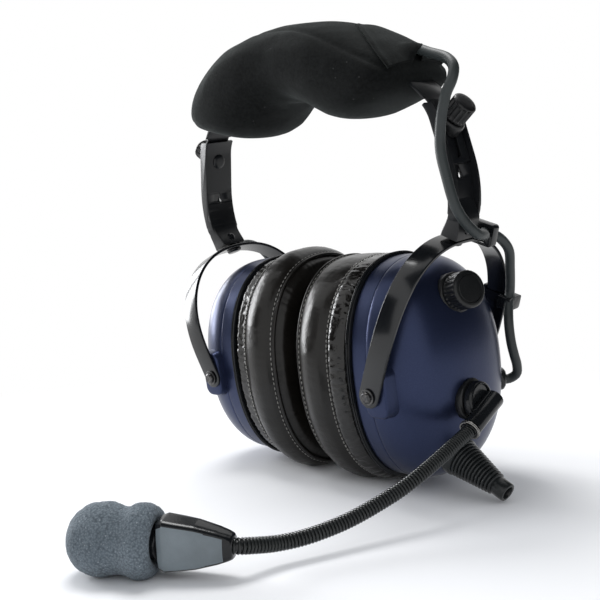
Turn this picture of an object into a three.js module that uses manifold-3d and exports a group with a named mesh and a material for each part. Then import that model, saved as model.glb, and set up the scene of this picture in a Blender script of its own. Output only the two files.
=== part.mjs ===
// Aviation headset with boom microphone, in millimetres, +Z up.
// The headset is drawn upright in its own frame: x runs out through the near cup, y runs from the
// wearer's face to the back of the head, z runs up, and the origin is midway between the cups.
// It is then pitched forward to the attitude in which it stands on its ear seals and windscreen.
// The far side is the near side turned half a turn about the upright axis.
import * as THREE from 'three';
import { mergeVertices } from 'three/addons/utils/BufferGeometryUtils.js';
import Module from 'manifold-3d';

const wasm = await Module();
wasm.setup();

// ---------------------------------------------------------------- driving dimensions
const GAP = 0.3; // between pieces that touch
const PITCH = THREE.MathUtils.degToRad(7.6); // forward lean of the standing headset
const FLOOR_Z = -56.8; // surface it stands on, from the cups' centre line

const CUP_HALF_WIDTH = 40.6; // rim, front to back
const CUP_HALF_HEIGHT = 53.0;
const CUP_ROUNDNESS = 2.25; // exponent of the cup's oval
const RIM_X = 41.4; // inner plane of the rim
const RIM_LENGTH = 8.4;
const RIM_WALL = 3;
const SHELL_DEPTH = 31;
const SHELL_FULLNESS = 2.35; // exponent of the dome's profile
const SHELL_WALL = 2.4;

const SEAL_CROWN_X = 4.0; // front of the seal's crown, from the middle plane
const SEAL_BACK_X = 38.6;
const SEAL_BULGE = 5.4; // how far the seal stands out beyond the rim
const PLATE_THICKNESS = 1.9; // seal plate
const EAR_INSET = 17.2; // wall of the ear opening, in from the rim
const DRIVER_R = 19.8;

const PIVOT_X = 54.2;
const PIVOT_Z = -2;
const PIVOT_HALF_SPAN = 45.4; // to the middle of the yoke's strip
const BOSS_WIDTH = 13;
const BOSS_HEIGHT = 23;
const SCREW_SHANK_R = 2.0;
const SCREW_HEAD_R = 3.1;
const WASHER_R = 4.3;

const YOKE_WIDTH = 10.8;
const YOKE_BOW = 1.9; // the legs' outline bows outward halfway up
const YOKE_THICKNESS = 1.6;
const YOKE_STRAIGHT = 12; // straight part of each leg
const YOKE_RISE = 65.5; // from the pivots to the top of the hoop
const YOKE_LEAN = THREE.MathUtils.degToRad(19.3); // outward, from the pivots up
const SWIVEL_PIN_R = 2.2;

const ARM_WIDTH = 18.4;
const ARM_THICKNESS = 1.5;
const FLANGE_HEIGHT = 3.4;
const FLANGE_THICKNESS = 1.3;
const FLANGE_BOTTOM_Z = 71.9;
const ARM_TONGUE_WIDTH = 10.4; // lower end, inside the bracket
const STRAIGHT_X = 77.2; // upper end of the arm's straight part
const STRAIGHT_Z = 112;
const STRAIGHT_LENGTH = 18.4;
const STRAIGHT_LEAN = THREE.MathUtils.degToRad(12);
const ARM_BEND_R = 20.8; // above the straight part
const ARM_TOP_LEAN = THREE.MathUtils.degToRad(35);
const ARM_SWEEP_R = 53; // below it
const ARM_FOOT_Z = 61.42; // lower end of the sweep, inside the bracket

const SLOT_WIDTH = 4.2;
const SLIDE = 12; // travel of each arm along the strip
const STRIP_THICKNESS = 1.2;
const STRIP_END_WIDTH = 14.6; // inside the arm
const STRIP_WIDTH = 17.6; // above it
const STRIP_STEP_Z = 121.5;
const SHOULDER_R = 60;
const SHOULDER_LEAN = THREE.MathUtils.degToRad(60);

const CLAMP_DOWN = 3.1; // clamping screw, below the straight part's upper end
const KNOB_TILT = THREE.MathUtils.degToRad(37);
const KNOB_R = 5.7;
const KNOB_LENGTH = 9.2;
const CLAMP_SCREW_R = 1.5;

const PAD_HALF_WIDTH = 30;

const LEAD_R = 2.3;
const BOOM_R = 3.1;
const BOOM_BORE_R = 1.6;
const RIB_PITCH = 3.25;
const RIB_DEPTH = 0.45;
const SLEEVE_R = 4.3;
const BOOM_DISC_R = 8.4;
const FOAM_R = 13.4;
const VOLUME_R = 8.5;
const BOOT_ROOT_R = 8.8;
const BOOT_TIP_R = 4.4;

// ---------------------------------------------------------------- finishes
const finish = (color, roughness, metalness = 0) => ({ color, roughness, metalness });
const NAVY = finish(0x1d2250, 0.32, 0.25);
const BLACK_STEEL = finish(0x0d0e10, 0.25, 0.6);
const BLACK_PLASTIC = finish(0x121315, 0.42);
const RUBBER = finish(0x0e0e0f, 0.75);
const LEATHER = finish(0x15130f, 0.45);
const VELOUR = finish(0x0b0c0c, 0.95);
const FOAM = finish(0x2c3038, 0.98);
const STEEL = finish(0x8a8780, 0.3, 0.9);
const GREEN_BOARD = finish(0x1b4d2b, 0.6);

// ---------------------------------------------------------------- solids
const { cos, sin, abs, sign, PI } = Math;
const V2 = (x, y) => new THREE.Vector2(x, y);
const V3 = (x, y, z) => new THREE.Vector3(x, y, z);
const AXIS_X = V3(1, 0, 0);
const AXIS_Y = V3(0, 1, 0);
const AXIS_Z = V3(0, 0, 1);

function toSolid(geometry) {
  const bare = geometry.clone();
  bare.deleteAttribute('normal');
  bare.deleteAttribute('uv');
  const merged = mergeVertices(bare, 1e-4);
  const corners = merged.index.array;
  const triVerts = [];
  for (let i = 0; i < corners.length; i += 3) {
    const [a, b, c] = [corners[i], corners[i + 1], corners[i + 2]];
    if (a !== b && b !== c && c !== a) triVerts.push(a, b, c);
  }
  const vertProperties = new Float32Array(merged.attributes.position.array);
  const mesh = new wasm.Mesh({ numProp: 3, vertProperties, triVerts: new Uint32Array(triVerts) });
  return new wasm.Manifold(mesh);
}

function toGeometry(solid) {
  const mesh = solid.getMesh();
  const geometry = new THREE.BufferGeometry();
  const positions = new Float32Array(mesh.vertProperties);
  geometry.setAttribute('position', new THREE.BufferAttribute(positions, 3));
  geometry.setIndex(new THREE.BufferAttribute(new Uint32Array(mesh.triVerts), 1));
  geometry.computeVertexNormals();
  return geometry;
}

const union = (first, ...rest) => rest.reduce((whole, piece) => whole.add(piece), first);
const cut = (first, ...rest) => rest.reduce((whole, piece) => whole.subtract(piece), first);

// A closed surface through rings of equal count. With loop the last ring joins the first, and
// otherwise each end closes on a fan from its pole.
function skin(rings, { loop = false, startPole = null, endPole = null } = {}) {
  const count = rings[0].length;
  const points = rings.flat();
  const index = [];
  const spans = loop ? rings.length : rings.length - 1;
  for (let i = 0; i < spans; i += 1) {
    const low = i * count;
    const high = ((i + 1) % rings.length) * count;
    for (let j = 0; j < count; j += 1) {
      const k = (j + 1) % count;
      index.push(low + j, low + k, high + k, low + j, high + k, high + j);
    }
  }
  if (!loop) {
    const centre = (ring) => ring.reduce((sum, p) => sum.add(p), V3(0, 0, 0)).divideScalar(count);
    points.push(startPole ?? centre(rings[0]), endPole ?? centre(rings[rings.length - 1]));
    const start = points.length - 2;
    const last = (rings.length - 1) * count;
    for (let j = 0; j < count; j += 1) {
      const k = (j + 1) % count;
      index.push(start, k, j, start + 1, last + j, last + k);
    }
  }
  let volume = 0;
  for (let i = 0; i < index.length; i += 3) {
    const [a, b, c] = [points[index[i]], points[index[i + 1]], points[index[i + 2]]];
    volume += a.dot(V3(0, 0, 0).crossVectors(b, c));
  }
  if (volume < 0) index.reverse();
  const geometry = new THREE.BufferGeometry().setFromPoints(points);
  geometry.setIndex(index);
  return toSolid(geometry);
}

// A lathed solid from (radius, height) points, its height measured along direction from origin.
function turned(profile, segments, origin, direction) {
  const geometry = new THREE.LatheGeometry(profile.map(([r, h]) => V2(r, h)), segments);
  geometry.applyQuaternion(new THREE.Quaternion().setFromUnitVectors(AXIS_Y, direction));
  geometry.translate(origin.x, origin.y, origin.z);
  return toSolid(geometry);
}

const rod = (r, from, to, segments, origin, direction) =>
  turned([[0, from], [r, from], [r, to], [0, to]], segments, origin, direction);

function extruded(shape, depth, curveSegments = 6) {
  return new THREE.ExtrudeGeometry(shape, { depth, bevelEnabled: false, curveSegments });
}

// A shape drawn in x and z, with its thickness along y.
function plateAlongY(shape, y0, y1, curveSegments) {
  const geometry = extruded(shape, y1 - y0, curveSegments);
  geometry.rotateX(PI / 2);
  geometry.translate(0, y1, 0);
  return geometry;
}

// A shape drawn in y and z, with its thickness along x.
function plateAlongX(shape, x0, x1, curveSegments) {
  const geometry = extruded(shape, x1 - x0, curveSegments);
  geometry.applyMatrix4(new THREE.Matrix4().set(0, 0, 1, x0, 1, 0, 0, 0, 0, 1, 0, 0, 0, 0, 0, 1));
  return geometry;
}

function roundedRect(width, height, radius, x = 0, y = 0) {
  const shape = new THREE.Shape();
  const [w, h] = [width / 2 - radius, height / 2 - radius];
  shape.absarc(x + w, y + h, radius, 0, PI / 2);
  shape.absarc(x - w, y + h, radius, PI / 2, PI);
  shape.absarc(x - w, y - h, radius, PI, 1.5 * PI);
  shape.absarc(x + w, y - h, radius, 1.5 * PI, 2 * PI);
  return shape;
}

const polygon = (points) => new THREE.Shape(points.map(([x, y]) => V2(x, y)));

// Points beside a line, at a distance to its right.
function beside(line, distance) {
  return line.map((p, i) => {
    const before = line[Math.max(i - 1, 0)];
    const after = line[Math.min(i + 1, line.length - 1)];
    const along = after.clone().sub(before).normalize();
    return V2(p.x + along.y * distance, p.y - along.x * distance);
  });
}

// A strip between two distances beside a line, as an outline.
const ribbon = (line, inner, outer) =>
  new THREE.Shape([...beside(line, outer), ...beside(line, inner).reverse()]);

function arc(centre, radius, from, to, steps) {
  return Array.from({ length: steps + 1 }, (_, i) => {
    const angle = from + ((to - from) * i) / steps;
    return V2(centre.x + radius * cos(angle), centre.y + radius * sin(angle));
  });
}

function tube(points, radius, steps) {
  const path = new THREE.CatmullRomCurve3(points, false, 'centripetal');
  const section = new THREE.Shape();
  section.absarc(0, 0, radius, 0, 2 * PI);
  const settings = { steps, extrudePath: path, curveSegments: 4, bevelEnabled: false };
  return toSolid(new THREE.ExtrudeGeometry(section, settings));
}

// ---------------------------------------------------------------- the scene
const headset = new THREE.Group();
const leaning = new THREE.Group();
leaning.rotation.x = PITCH;
headset.add(leaning);
const middle = new THREE.Group();
const nearSide = new THREE.Group();
const farSide = new THREE.Group();
farSide.rotation.z = PI;
leaning.add(middle, nearSide, farSide);

function place(group, name, solid, { color, roughness, metalness }) {
  const material = new THREE.MeshStandardMaterial({ color, roughness, metalness });
  const mesh = new THREE.Mesh(toGeometry(solid), material);
  mesh.name = name;
  group.add(mesh);
}

// The space below the floor, in the frame of one side.
function underFloor(turn) {
  const geometry = new THREE.BoxGeometry(600, 600, 60);
  geometry.translate(0, 0, FLOOR_Z - 30);
  geometry.rotateX(-PITCH);
  geometry.rotateZ(-turn);
  return toSolid(geometry);
}

// ---------------------------------------------------------------- the cups' oval
const OVAL_SIDES = 24;
const RIM_END_X = RIM_X + RIM_LENGTH;
const SHELL_X = RIM_END_X + GAP;

function ovalRing(x, inset, count, share = 1) {
  const power = 2 / CUP_ROUNDNESS;
  const [a, b] = [(CUP_HALF_WIDTH - inset) * share, (CUP_HALF_HEIGHT - inset) * share];
  return Array.from({ length: count }, (_, j) => {
    const angle = ((j + 0.5) * 2 * PI) / count;
    const [c, s] = [cos(angle), sin(angle)];
    return V3(x, a * sign(c) * abs(c) ** power, b * sign(s) * abs(s) ** power);
  });
}

// A ring round the cup from a closed profile of points (x, inset from the rim).
const ovalLoop = (profile, count) =>
  skin(profile.map(([x, inset]) => ovalRing(x, inset, count)), { loop: true });

const ovalSlab = (x0, x1, inset, count) => skin([ovalRing(x0, inset, count), ovalRing(x1, inset, count)]);

function domeRings(inset, count, levels) {
  const power = 2 / SHELL_FULLNESS;
  return Array.from({ length: levels }, (_, i) => {
    const angle = (i / levels) * (PI / 2);
    const x = SHELL_X + (SHELL_DEPTH - inset) * sin(angle) ** power;
    return ovalRing(x, inset, count, cos(angle) ** power);
  });
}

const domePole = (inset) => V3(SHELL_X + SHELL_DEPTH - inset, 0, 0);

const domeSolid = (inset) => skin(domeRings(inset, OVAL_SIDES, 6), { endPole: domePole(inset) });

// ---------------------------------------------------------------- shell, rim and what is inside
function pivotBoss(side) {
  const shape = roundedRect(BOSS_WIDTH, BOSS_HEIGHT, 4, PIVOT_X + 2.6, PIVOT_Z);
  const face = PIVOT_HALF_SPAN - YOKE_THICKNESS / 2 - GAP;
  const inside = CUP_HALF_WIDTH - SHELL_WALL - 1;
  return toSolid(side > 0 ? plateAlongY(shape, inside, face, 4) : plateAlongY(shape, -face, -inside, 4));
}

const DOME_OUTSIDE = domeSolid(-GAP);
const DOME_INSIDE = skin(domeRings(SHELL_WALL, OVAL_SIDES, 4), { endPole: domePole(SHELL_WALL) });

// Wall of the dome with the pivots' bosses, less any further cutters.
function shell(...cutters) {
  const rings = [...domeRings(SHELL_WALL, OVAL_SIDES, 4).reverse(), ...domeRings(0, OVAL_SIDES, 6)];
  const wall = skin(rings, { startPole: domePole(SHELL_WALL), endPole: domePole(0) });
  const bosses = union(pivotBoss(1), pivotBoss(-1)).subtract(DOME_INSIDE);
  const holes = rod(SCREW_SHANK_R + GAP, -60, 60, 10, V3(PIVOT_X, 0, PIVOT_Z), AXIS_Y);
  return cut(wall.add(bosses), holes, ...cutters);
}

// The near seal's bulge lies flat at its top, where the leather is gathered.
function seal(turn, slump) {
  const front = SEAL_CROWN_X;
  const profile = [[front + 4.6, -0.3], [12.8, -3.6], [18.5, -SEAL_BULGE], [24.0, -4.6], [28.0, -2.6],
    [30.5, -3.0], [35.0, -1.6], [SEAL_BACK_X, 0.8], [SEAL_BACK_X, 10.5], [30.0, EAR_INSET],
    [13.0, EAR_INSET + 0.9], [front + 2, 14.2], [front, 8.6], [front + 1.4, 3.4]];
  const rings = profile.map(([x, inset]) => ovalRing(x, inset, 28).map((point, j) => {
    const up = Math.max(0, sin(((j + 0.5) * 2 * PI) / 28)) ** 2;
    return inset < 0 ? point.lerp(ovalRing(x, 0, 28)[j], slump * up) : point;
  }));
  return skin(rings, { loop: true }).subtract(underFloor(turn));
}

function sealPlate() {
  const front = SEAL_BACK_X + GAP;
  const back = front + PLATE_THICKNESS;
  return ovalLoop([[front, -0.9], [front + PLATE_THICKNESS / 2, -1.5], [back, -0.9], [back, 12], [front, 12]], OVAL_SIDES);
}

const rim = () => ovalLoop([[RIM_X, 1.2], [RIM_X + 1.2, 0], [RIM_END_X, 0], [RIM_END_X, RIM_WALL],
  [RIM_X, RIM_WALL]], OVAL_SIDES);

function baffle() {
  const plate = ovalSlab(RIM_X + 1.2, RIM_X + 3.4, RIM_WALL + GAP, OVAL_SIDES);
  return plate.subtract(rod(DRIVER_R + 0.4, RIM_X, RIM_X + 5, 16, V3(0, 0, 0), AXIS_X));
}

function driver() {
  const front = RIM_X + 1;
  return turned([[0, front + 1.4], [17, front + 0.8], [18, front], [DRIVER_R, front], [DRIVER_R, front + 2.8],
    [23.5, front + 2.8], [23.5, front + 4.6], [12, front + 6.6], [12, front + 13], [0, front + 13]],
  12, V3(0, 0, 0), AXIS_X);
}

const earFoam = () => ovalSlab(SEAL_BACK_X + GAP, SEAL_BACK_X + GAP + PLATE_THICKNESS, 12 + GAP, OVAL_SIDES);

// Washer, shank and pan head of one pivot screw.
function pivotScrew(side) {
  const seat = PIVOT_HALF_SPAN + YOKE_THICKNESS / 2 + GAP;
  return turned([[0, 38.6], [SCREW_SHANK_R, 38.6], [SCREW_SHANK_R, seat], [WASHER_R, seat],
    [WASHER_R, seat + 0.8],
    [SCREW_HEAD_R, seat + 0.8], [SCREW_HEAD_R - 0.3, seat + 2.3], [1.5, seat + 2.9], [1.3, seat + 1.9],
    [0, seat + 1.9]],
  10, V3(PIVOT_X, 0, PIVOT_Z), V3(0, side, 0));
}

// ---------------------------------------------------------------- yoke
// The yoke is drawn in its hoop's plane, with x across the strip and z rising from the pivots.
const leanYoke = (geometry) => geometry.rotateY(YOKE_LEAN).translate(PIVOT_X, 0, PIVOT_Z);
const onYoke = (x, y, z) => V3(
  PIVOT_X + x * cos(YOKE_LEAN) + z * sin(YOKE_LEAN),
  y,
  PIVOT_Z - x * sin(YOKE_LEAN) + z * cos(YOKE_LEAN),
);
const SWIVEL_AXIS = V3(sin(YOKE_LEAN), 0, cos(YOKE_LEAN));
const ACROSS_YOKE = V3(cos(YOKE_LEAN), 0, -sin(YOKE_LEAN));

function hoopPoint(angle) {
  const power = 2 / 2.35;
  const y = PIVOT_HALF_SPAN * sign(cos(angle)) * abs(cos(angle)) ** power;
  return V2(y, YOKE_STRAIGHT + (YOKE_RISE - YOKE_STRAIGHT) * abs(sin(angle)) ** power);
}

function hoopLine() {
  const tab = YOKE_WIDTH / 2;
  const curve = Array.from({ length: 19 }, (_, i) => hoopPoint(PI - (i / 18) * PI));
  return [V2(-PIVOT_HALF_SPAN, -tab), V2(-PIVOT_HALF_SPAN, 5), ...curve, V2(PIVOT_HALF_SPAN, 5),
    V2(PIVOT_HALF_SPAN, -tab)];
}

const hoopStrip = (clearance, halfWidth) =>
  plateAlongX(
    ribbon(hoopLine(), -YOKE_THICKNESS / 2 - clearance, YOKE_THICKNESS / 2 + clearance),
    -halfWidth,
    halfWidth,
  );

// The strip within its outline, with a clearance all round.
function yokeStrip(clearance) {
  const half = YOKE_WIDTH / 2 + clearance;
  const bow = (x) => Array.from({ length: 6 }, (_, i) => V2(x + YOKE_BOW * sin((i * PI) / 5), (i * YOKE_RISE) / 5));
  const foot = arc(V2(0, 0), half, PI, 2 * PI, 6).slice(1, -1);
  const outline = new THREE.Shape([V2(-half, YOKE_RISE + 5), ...bow(-half).reverse(), ...foot, ...bow(half),
    V2(half, YOKE_RISE + 5)]);
  return toSolid(hoopStrip(clearance, half + 4)).intersect(toSolid(plateAlongY(outline, -60, 60)));
}

function yoke() {
  const holes = rod(SCREW_SHANK_R + GAP, -60, 60, 10, V3(0, 0, 0), AXIS_Y);
  const pinHole = rod(SWIVEL_PIN_R + GAP, -6, 6, 10, V3(0, 0, YOKE_RISE), AXIS_Z);
  const flat = cut(yokeStrip(0), holes, pinHole);
  return toSolid(leanYoke(toGeometry(flat)));
}

// ---------------------------------------------------------------- arm
// Middle line of the arm's web in x and z: a sweep, a straight part and a bend inward.
const STRAIGHT_TOP = V2(STRAIGHT_X, STRAIGHT_Z);
const ALONG = V2(-sin(STRAIGHT_LEAN), cos(STRAIGHT_LEAN)); // up the straight part
const OUTWARD = V2(cos(STRAIGHT_LEAN), sin(STRAIGHT_LEAN));
const STRAIGHT_BOTTOM = STRAIGHT_TOP.clone().addScaledVector(ALONG, -STRAIGHT_LENGTH);
const BEND_CENTRE = STRAIGHT_TOP.clone().addScaledVector(OUTWARD, -ARM_BEND_R);
const SWEEP_CENTRE = STRAIGHT_BOTTOM.clone().addScaledVector(OUTWARD, -ARM_SWEEP_R);

const ARM_BOTTOM_LEAN = Math.asin((ARM_FOOT_Z - SWEEP_CENTRE.y) / ARM_SWEEP_R);
const sweepLine = () => arc(SWEEP_CENTRE, ARM_SWEEP_R, ARM_BOTTOM_LEAN, STRAIGHT_LEAN, 7);
const bendLine = () => arc(BEND_CENTRE, ARM_BEND_R, STRAIGHT_LEAN, ARM_TOP_LEAN, 4);

// Places that the clamp, the arm and the strip share.
const CLAMP = STRAIGHT_TOP.clone().addScaledVector(ALONG, -CLAMP_DOWN);
const CLAMP_POINT = V3(CLAMP.x, 0, CLAMP.y);
const CLAMP_AXIS = V3(cos(KNOB_TILT), 0, sin(KNOB_TILT));
const clampRod = (r, from, to, segments) => rod(r, from, to, segments, CLAMP_POINT, CLAMP_AXIS);
const STRIP_INNER = ARM_THICKNESS / 2 + GAP;
const STRIP_OUTER = STRIP_INNER + STRIP_THICKNESS;

// Places that the bracket and the arm share, above the top of the yoke.
const BRACKET_Z = YOKE_RISE + YOKE_THICKNESS / 2 + GAP;
const BRACKET_HEIGHT = 9.1;
const RIVET_R = 1.3;
const RIVET_PLACE = onYoke(1.6, 0, BRACKET_Z + 5.2);
const rivetRod = (radius, reach) => rod(radius, -reach, reach, 10, RIVET_PLACE, ACROSS_YOKE);

function arm() {
  const line = [...sweepLine(), ...bendLine()];
  const half = ARM_THICKNESS / 2;
  const [tongue, outer] = [ARM_TONGUE_WIDTH / 2, ARM_WIDTH / 2];
  const mask = polygon([[-tongue, 50], [tongue, 50], [tongue, FLANGE_BOTTOM_Z - 2.5], [outer, FLANGE_BOTTOM_Z],
    [outer, 140], [-outer, 140], [-outer, FLANGE_BOTTOM_Z], [-tongue, FLANGE_BOTTOM_Z - 2.5]]);
  const web = toSolid(plateAlongY(ribbon(line, -half, half), -ARM_WIDTH, ARM_WIDTH))
    .intersect(toSolid(plateAlongX(mask, 40, 120)));
  const flangeLean = Math.asin((FLANGE_BOTTOM_Z - SWEEP_CENTRE.y) / ARM_SWEEP_R);
  const raised = [...arc(SWEEP_CENTRE, ARM_SWEEP_R, flangeLean, STRAIGHT_LEAN, 7), ...bendLine()];
  const crest = beside(raised, half + FLANGE_HEIGHT).slice(0, -1);
  crest[0].lerp(crest[1], 0.45);
  const wall = new THREE.Shape([...crest, ...beside(raised, -half / 2).reverse()]);
  const flanges = [outer - FLANGE_THICKNESS, -outer].map((y) =>
    toSolid(plateAlongY(wall, y, y + FLANGE_THICKNESS)));
  const drop = new THREE.Shape();
  drop.absarc(0, 87.4, 1.6, PI, 2 * PI);
  drop.lineTo(0, 92);
  const holes = [toSolid(plateAlongX(drop, 70, 90)), clampRod(CLAMP_SCREW_R + GAP, -6, 6, 12)];
  return cut(union(web, ...flanges), ...holes, rivetRod(RIVET_R + GAP, 8));
}

// Bracket at the arm's foot, drawn in the yoke's plane. It holds the arm's tongue and the swivel pin.
function bracket() {
  const top = BRACKET_Z + BRACKET_HEIGHT;
  const front = polygon([[-7.8, BRACKET_Z], [7.8, BRACKET_Z], [7.8, BRACKET_Z + 2.6], [7, top - 3.5],
    [6.8, top], [-6.8, top], [-7, top - 3.5], [-7.8, BRACKET_Z + 2.6]]);
  const sideways = polygon([[-4.2, BRACKET_Z - 1], [5.6, BRACKET_Z - 1], [5.6, BRACKET_Z + 4.5],
    [4.8, top + 1], [-1.9, top + 1], [-4.2, BRACKET_Z + 4]]);
  const body = toSolid(leanYoke(plateAlongX(front, -8, 8)))
    .intersect(toSolid(leanYoke(plateAlongY(sideways, -12, 12))));
  const half = ARM_THICKNESS / 2 + GAP;
  const foot = arc(SWEEP_CENTRE, ARM_SWEEP_R, ARM_BOTTOM_LEAN - 0.012, STRAIGHT_LEAN, 9);
  const slotWidth = ARM_TONGUE_WIDTH / 2 + GAP;
  const slot = plateAlongY(ribbon(foot, -half, half), -slotWidth, slotWidth);
  const pinHole = rod(SWIVEL_PIN_R + GAP, -2, 1.2, 10, onYoke(0, 0, BRACKET_Z), SWIVEL_AXIS);
  return cut(body, toSolid(slot), pinHole, rivetRod(RIVET_R + GAP, 12));
}

const rivet = () => turned([[0, -6.6], [1.9, -6.4], [2.3, -5.5 - GAP], [RIVET_R, -5.5 - GAP], [RIVET_R, 4 + GAP],
  [2.6, 4 + GAP], [2.4, 5], [0, 5.7]], 10, RIVET_PLACE, ACROSS_YOKE);

function swivelPin() {
  const under = -YOKE_THICKNESS - 2 * GAP;
  return turned([[0, under - 1.6], [3.6, under - 1.4], [4.2, under - 0.2], [4.2, under], [SWIVEL_PIN_R, under],
    [SWIVEL_PIN_R, 0.9], [0, 0.9]], 12, onYoke(0, 0, BRACKET_Z), SWIVEL_AXIS);
}

// ---------------------------------------------------------------- clamping knob
const SEAT_TOP = 5.4;

// A block along the straight part, between two distances outward from the web's middle.
function alongStraight(inner, outer, from, to, halfWidth) {
  const corner = (out, up) => CLAMP.clone().addScaledVector(OUTWARD, out).addScaledVector(ALONG, up);
  const shape = new THREE.Shape([corner(inner, from), corner(outer, from), corner(outer, to), corner(inner, to)]);
  return toSolid(plateAlongY(shape, -halfWidth, halfWidth));
}

// Wedge seat under the knob, its foot flat on the strip.
function clampSeat() {
  const barrel = turned([[0, -6], [6.7, -6], [6.7, SEAT_TOP - 0.8], [6.1, SEAT_TOP], [0, SEAT_TOP]],
    18, CLAMP_POINT, CLAMP_AXIS);
  const below = alongStraight(-12, STRIP_OUTER + GAP, -20, 20, 12);
  return cut(barrel, below, clampRod(CLAMP_SCREW_R + GAP, -8, 8, 12));
}

function clampScrew() {
  const foot = alongStraight(-ARM_THICKNESS / 2 - GAP - 1.8, -ARM_THICKNESS / 2 - GAP, -4.5, 4.5, 4.5);
  return clampRod(CLAMP_SCREW_R, -2.6, SEAT_TOP + KNOB_LENGTH - 3, 12).add(foot);
}

// A knob with flutes round it and a plain raised face, its height measured along direction from origin.
function flutedKnob({ radius, from, to, flutes, depth, socketR, socketTo }, origin, direction) {
  const crests = Array.from({ length: flutes * 2 }, (_, i) => {
    const r = radius - depth * (i % 2);
    const angle = (i * PI) / flutes;
    return V2(r * cos(angle), r * sin(angle));
  });
  const barrel = extruded(new THREE.Shape(crests), to - from - 1).translate(0, 0, from);
  barrel.applyQuaternion(new THREE.Quaternion().setFromUnitVectors(AXIS_Z, direction));
  barrel.translate(origin.x, origin.y, origin.z);
  const face = turned([[0, from + 1], [radius - 1, from + 1], [radius - 1, to - 0.5], [radius - 1.5, to], [0, to]],
    16, origin, direction);
  const socket = rod(socketR, from - 1, socketTo, 10, origin, direction);
  return toSolid(barrel).add(face).subtract(socket);
}

const clampKnob = () => flutedKnob({
  radius: KNOB_R,
  from: SEAT_TOP + GAP,
  to: SEAT_TOP + GAP + KNOB_LENGTH,
  flutes: 12,
  depth: 0.6,
  socketR: CLAMP_SCREW_R + GAP,
  socketTo: SEAT_TOP + KNOB_LENGTH - 3 + GAP,
}, CLAMP_POINT, CLAMP_AXIS);

// ---------------------------------------------------------------- headband strip and pad
const ARM_TOP = bendLine().pop();
const SHOULDER_CENTRE = V2(
  ARM_TOP.x - SHOULDER_R * cos(ARM_TOP_LEAN),
  ARM_TOP.y - SHOULDER_R * sin(ARM_TOP_LEAN),
);
const SHOULDER_END = arc(SHOULDER_CENTRE, SHOULDER_R, ARM_TOP_LEAN, SHOULDER_LEAN, 1)[1];
const CROWN_R = SHOULDER_END.x / cos(SHOULDER_LEAN);
const CROWN_CENTRE = V2(0, SHOULDER_END.y - CROWN_R * sin(SHOULDER_LEAN));

// The band's line from its near end, inside the near arm, over the crown to its far end.
function bandLine() {
  const end = CLAMP.clone().addScaledVector(ALONG, -SLIDE - 5.2);
  const shoulder = arc(SHOULDER_CENTRE, SHOULDER_R, ARM_TOP_LEAN, SHOULDER_LEAN, 4).slice(1);
  const crown = arc(CROWN_CENTRE, CROWN_R, SHOULDER_LEAN, PI / 2, 6).slice(1);
  const near = [end, ...bendLine(), ...shoulder, ...crown];
  const far = near.slice(0, -1).map((p) => V2(-p.x, p.y)).reverse();
  return [...near, ...far];
}

function headbandStrip() {
  const outline = ribbon(bandLine(), STRIP_INNER, STRIP_OUTER);
  const full = toSolid(plateAlongY(outline, -STRIP_WIDTH / 2, STRIP_WIDTH / 2));
  const trims = [1, -1].map((side) => {
    const box = new THREE.BoxGeometry(260, 6, 60);
    return toSolid(box.translate(0, side * (STRIP_END_WIDTH / 2 + 3), STRIP_STEP_Z - 30));
  });
  const slot = new THREE.Shape();
  slot.absarc(0, CLAMP.y + 3.8, SLOT_WIDTH / 2, 0, PI);
  slot.absarc(0, CLAMP.y - SLIDE * cos(STRAIGHT_LEAN) - 0.4, SLOT_WIDTH / 2, PI, 2 * PI);
  const slots = [[60, 100], [-100, -60]].map(([x0, x1]) => toSolid(plateAlongX(slot, x0, x1, 6)));
  return cut(full, ...trims, ...slots);
}

// Point, and outward direction, of the band's line at a distance from the crown.
function onBand(distance, side) {
  const past = distance - CROWN_R * (PI / 2 - SHOULDER_LEAN);
  const [centre, radius, angle] = past < 0
    ? [CROWN_CENTRE, CROWN_R, PI / 2 - distance / CROWN_R]
    : [SHOULDER_CENTRE, SHOULDER_R, SHOULDER_LEAN - past / SHOULDER_R];
  const out = V2(cos(angle) * side, sin(angle));
  return { point: V2(side * (centre.x + radius * cos(angle)), centre.y + radius * sin(angle)), out };
}

// Pad sections from its middle to one end: distance along the band, depth under the band, half width,
// and height over the band on the near and the far side.
const PAD_SECTIONS = [[0, 19.8, 28.5, 16, 16], [10, 21, 28.8, 15.7, 16.6], [20, 24.4, 29.6, 15, 17.4],
  [30, 27.4, 30.1, 14, 18], [38, 28.2, PAD_HALF_WIDTH, 13, 18.2], [46, 27.2, 29.8, 12, 18],
  [54, 24, 29.2, 11, 17.2], [62, 18.2, 27.8, 9.8, 15.4], [68.5, 11.4, 25, 8.2, 12], [71.6, 6.4, 21.5, 5.8, 8.4]];

function padRing([distance, under, halfWidth, overNear, overFar], side) {
  const { point, out } = onBand(distance, side);
  const over = side > 0 ? overNear : overFar;
  const power = 2 / 2.7;
  return Array.from({ length: 20 }, (_, j) => {
    const angle = ((j + 0.5) * PI) / 10;
    const [c, s] = [cos(angle), sin(angle)];
    const up = (over - under) / 2 + ((over + under) / 2) * sign(s) * abs(s) ** power;
    return V3(point.x + out.x * up, halfWidth * sign(c) * abs(c) ** power, point.y + out.y * up);
  });
}

function headPad(...cutters) {
  const near = PAD_SECTIONS.slice(1).reverse().map((section) => padRing(section, 1));
  const far = PAD_SECTIONS.map((section) => padRing(section, -1));
  const slot = ribbon(bandLine().slice(3, -3), STRIP_INNER - GAP, STRIP_OUTER + GAP);
  const half = STRIP_WIDTH / 2 + GAP;
  return cut(skin([...near, ...far]), toSolid(plateAlongY(slot, -half, half)), ...cutters);
}

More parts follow.
